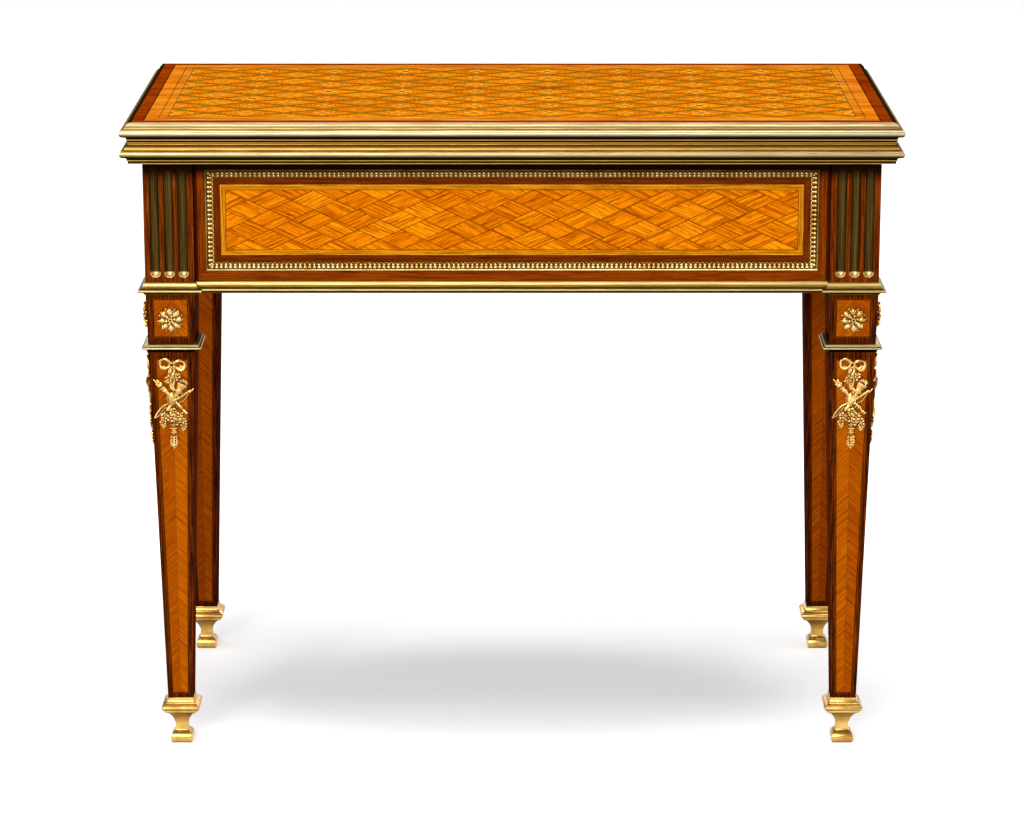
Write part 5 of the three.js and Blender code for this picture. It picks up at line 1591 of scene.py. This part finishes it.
def rosetteShape():
    # two rows of full petals, small buds between them and a pierced button
    shape = ([], [])
    addTurning(shape, (0, -8, 0.6), (0, 8, 0.6), [(0, 2), (0.2, 6), (0.5, 8), (0.8, 6), (1, 2)], 0.12, 12)
    for i in range(8):
        angle = 22.5 + 45 * i
        c, s = direction(angle)
        addLeaf(shape, (6.0 * c, 6.0 * s, 0.2), 8.4, 4.6, angle, 0.6, 1.3, -0.1, 7, 1.2)
        addBall(shape, (13.6 * c, 13.6 * s, 1.4), 1.5, 0.9)
    for i in range(8):
        angle = 45 * i + 4
        c, s = direction(angle)
        addLeaf(shape, (2.6 * c, 2.6 * s, 1.2), 12.6, 8.0, angle, 2.2, 2.7, -0.15, 8, 1.15)
    for i in range(6):
        angle = 60 * i + 15
        c, s = direction(angle)
        addLeaf(shape, (1.8 * c, 1.8 * s, 3.2), 5.4, 4.2, angle, 1.3, 1.5, -0.15, 6, 1.2)
    addTube(shape, [(a, b, 5.0) for a, b in arc(0, 0, 2.0, 0, 360, 12)], 0.95, 6, 1.0)
    return shape


def trophyShape():
    # ribbon knot, torch, quiver and bow crossed over a bouquet, a small vase and a drop of leaves
    shape = ([], [])
    # ribbon bow with its pierced knot
    leftLoop = [
        (-2, 2), (-5, 6), (-9, 7), (-13, 4.6), (-13.4, -0.6), (-11.6, -3.8), (-8.6, -4.8), (-5.4, -3.4),
        (-2.4, -1),
    ]
    rightLoop = [
        (2, 1), (4.6, 3.6), (8.6, 5), (13, 3.6), (14.8, 0), (13.8, -4), (11, -6.6), (8, -5.6), (5.6, -3),
        (2.4, -1.4),
    ]
    for loop in (leftLoop, rightLoop):
        path = curveThrough([(a, b, 2.2 + 0.8 * math.sin(n * 1.1)) for n, (a, b) in enumerate(loop)], 4)
        addTube(shape, path, [2.0 + 0.5 * math.sin(0.35 * n) for n in range(len(path))], 8, 0.9)
        low = [(a * 0.78, b * 0.6 - 0.8, 2.6) for a, b in loop[4:]]
        addTube(shape, curveThrough(low, 3), 2.0, 8, 0.8)
    addTube(shape, [(a, b, 3.2) for a, b in arc(0, -0.3, 2.7, 0, 360, 14)], 1.15, 8, 1.0)
    # hanging ribbon, folded over itself
    leftTail = [
        (-1.2, -3, 1.6), (-2.2, -8, 2.2), (-2.8, -13, 1.4), (-1.6, -18, 2.0), (-2, -24, 1.4), (0, -30, 1.6)
    ]
    rightTail = [
        (1.6, -3, 2.0), (2.6, -8, 1.6), (0.4, -13, 2.8), (2.6, -19, 1.6), (0.6, -26, 2.2), (2, -32, 1.6)
    ]
    addTube(shape, curveThrough(leftTail, 4), 2.3, 8, 0.55)
    addTube(shape, curveThrough(rightTail, 4), 1.8, 8, 0.6)
    addFlower(shape, (-3.4, -16.4, 2.6), 4.4, 5, 20)
    addFlower(shape, (6.6, -13.4, 1.8), 3.9, 4, 50)
    addLeaf(shape, (6.0, -15.8, 1.0), 5.2, 3.0, -100)
    for turn, length in ((200, 6.4), (245, 5.6), (285, 5.4)):
        addLeaf(shape, (-4.2, -18.4, 1.4), length, 3.2, turn)
    # quiver with its feathered arrows, upper right to lower left
    quiver = [
        (0, 1.6), (0.02, 6.2), (0.06, 6.6), (0.1, 5.6), (0.16, 5.0), (0.22, 3.6), (0.24, 4.2), (0.28, 4.2),
        (0.3, 3.2), (0.6, 2.9), (0.84, 2.6), (0.86, 3.1), (0.9, 3.1), (0.92, 2.6), (0.98, 2.2), (1, 0.8),
    ]
    addTurning(shape, (13.0, -22.4, 3.0), (-7.4, -57.5, 2.0), quiver, 0.62, 12)
    for turn, width in ((12, 2.6), (34, 3.0), (56, 3.4), (80, 3.4), (104, 3.0), (126, 2.6)):
        c, s = direction(turn)
        addLeaf(shape, (12.2 + 2.6 * c, -23.4 + 1.8 * s, 3.6), 5.2, width, turn, 0.6, 1.2)
    for n in range(6):
        addBall(shape, (8.4 + 1.5 * n, -29.6 + 1.0 * n, 4.6), 1.05)
    for shiftUp in (0, -4.4):
        band = [(1.6, -28.6, 2.2), (4.6, -31.6, 3.8), (8.6, -34.2, 3.8), (12.4, -34.4, 2.2)]
        addTube(shape, curveThrough([(a, b + shiftUp, d) for a, b, d in band], 4), 0.95, 6, 0.9)
    # torch, upper left to lower right
    torch = [
        (0, 1.2), (0.02, 3.8), (0.07, 4.0), (0.1, 2.6), (0.13, 3.4), (0.16, 3.4), (0.19, 2.4), (0.4, 2.1),
        (0.76, 1.8), (0.78, 2.4), (0.82, 2.4), (0.84, 1.7), (0.93, 1.7), (0.95, 2.3), (0.97, 2.7), (1, 1.6),
    ]
    addTurning(shape, (-12.6, -26.4, 3.2), (14.6, -57.6, 2.4), torch, 0.75, 10)
    addBall(shape, (15.4, -58.4, 2.4), 2.4)
    for turn, length in ((156, 7.4), (137, 12.2), (116, 9.0), (178, 5.0), (92, 5.0)):
        addLeaf(shape, (-13.0, -25.4, 2.6), length, 4.4, turn, 1.6, 1.5, 0.1)
    addBall(shape, (-14.0, -24.6, 4.0), 2.9)
    # wreath where they cross
    wreath = [(0, 1), (0.15, 3.4), (0.5, 4.4), (0.85, 3.4), (1, 1)]
    addTurning(shape, (-0.9, -33.4, 3.0), (-0.9, -49.4, 3.0), wreath, 0.55, 12)
    for n in range(7):
        for side in (-1, 1):
            start = (-0.9 + side * (2.0 + 1.6 * math.sin(math.pi * n / 6)), -35.6 - 2.0 * n, 2.6)
            addLeaf(shape, start, 3.4, 2.4, 90 - side * 62, 0.9, 1.0)
    # hunting bow with its string
    bow = [
        (24.4, -28.8, 2.0), (22.6, -31.4, 2.4), (19.8, -31.6, 2.6), (15, -35.2, 2.2), (8.6, -39.6, 2.4),
        (1, -43.6, 3.4), (-6, -47.4, 2.6), (-12, -50.8, 2.4), (-17.2, -57.2, 2.0), (-21.6, -65, 1.6),
    ]
    path = curveThrough(bow, 4)
    thickness = [0.75 + 0.95 * math.sin(math.pi * n / (len(path) - 1)) for n in range(len(path))]
    addTube(shape, path, thickness, 8, 0.9)
    addBall(shape, (20.4, -32.6, 2.4), 2.0)
    for string in (
        [(19, -34, 1.4), (15.6, -40, 1.4), (11.4, -44.6, 1.4), (4.6, -46.8, 1.6)],
        [(-8, -51, 1.4), (-13, -57, 1.4), (-17, -62.4, 1.2), (-21, -65, 1.2)],
    ):
        addTube(shape, curveThrough(string, 4), 0.8, 6, 0.9)
    # bouquet
    flowers = [
        (-9.8, -62.0, 4.6, 10), (0.4, -56.6, 5.0, 0), (-2.6, -64.6, 5.6, 70), (6.2, -62.8, 5.6, 15),
        (11.6, -68.0, 4.0, 60), (3.6, -70.0, 4.6, 5),
    ]
    for a, b, radius, turn in flowers:
        addFlower(shape, (a, b, 2.2 + 0.8 * math.sin(a)), radius, 5, turn)
    sprigs = [
        (0.5, -52.6, 90), (3.4, -53.8, 66), (-3.0, -54.6, 118), (8, -60, 30), (-7.6, -58.8, 150),
        (-8.6, -66, 190),
    ]
    for a, b, turn in sprigs:
        addLeaf(shape, (a, b, 1.2), 5.4, 2.6, turn)
    # side sprays
    for side, a, b in ((-1, -11.6, -70.0), (1, 12.4, -73.4)):
        addFlower(shape, (a, b, 1.8), 4.2, 5, 30)
        for turn, length in ((-90, 7.0), (-90 + side * 34, 5.4), (-90 - side * 30, 5.4)):
            addLeaf(shape, (a - side * 0.6, b - 1.6, 1.0), length, 3.4, turn)
    # vase foot and drop of leaves
    vase = [
        (0, 5.0), (0.14, 4.0), (0.26, 2.6), (0.34, 2.6), (0.36, 4.6), (0.46, 4.6), (0.48, 3.2), (0.54, 2.7),
        (0.64, 2.7), (0.7, 3.2), (0.72, 3.9), (0.82, 3.9), (0.84, 2.4), (1, 1.6),
    ]
    addTurning(shape, (0.6, -71.4, 1.8), (0.6, -85.0, 1.8), vase, 0.7, 12)
    for n, reach in enumerate((5.0, 6.6, 6.8, 5.6)):
        b = -86.2 - 2.9 * n
        for side in (-1, 1):
            addLeaf(shape, (0.6 + side * 0.8, b, 1.8), reach, 3.8, -90 + side * (50 - 7 * n), 1.0, 1.2, 0.1)
        addLeaf(shape, (0.6, b, 2.8), 4.8, 3.0, -90, 0.8, 1.2, 0.1)
    addLeaf(shape, (0.6, -96.8, 1.6), 6.4, 4.0, -90, 0.6, 1.2, 0.1)
    return shape


mountShape = {"knotBelowTop": 7.3}  # mm from the top of a trophy to the middle of its ribbon's knot


def onFace(shape, legPlace, facing, z):
    # sets a flat drawing on a tapered face of a leg
    points = []
    for a, b, d in shape[0]:
        half = legLook["footWidth"] / 2 + legSlope * (z + b - legLook["taperFoot"])
        points.append((a, -(half + seatGap + max(d, 0)), z + b))
    return turned(points, railFaces[facing][2], *legPlace), shape[1]


rosette, trophy = rosetteShape(), trophyShape()
for name in nodes:
    if name.startswith(("rosette_", "trophy_")):
        frontOrBack, leftOrRight = name.split("_")[1:3]
        facing = leftOrRight if name.endswith("_side") else frontOrBack
        low, high = boxOf(name)
        shape, z = trophy, high.z - mountShape["knotBelowTop"]
        if name.startswith("rosette_"):
            shape, z = rosette, (low.z + high.z) / 2
        points, faces = onFace(shape, legPlaces[frontOrBack + "_" + leftOrRight], facing, z)
        settle(makePiece(name + "_chased", points, faces, gilt, 50), "frame", "gilt_bronze", name)

print("rosettes and trophies made")
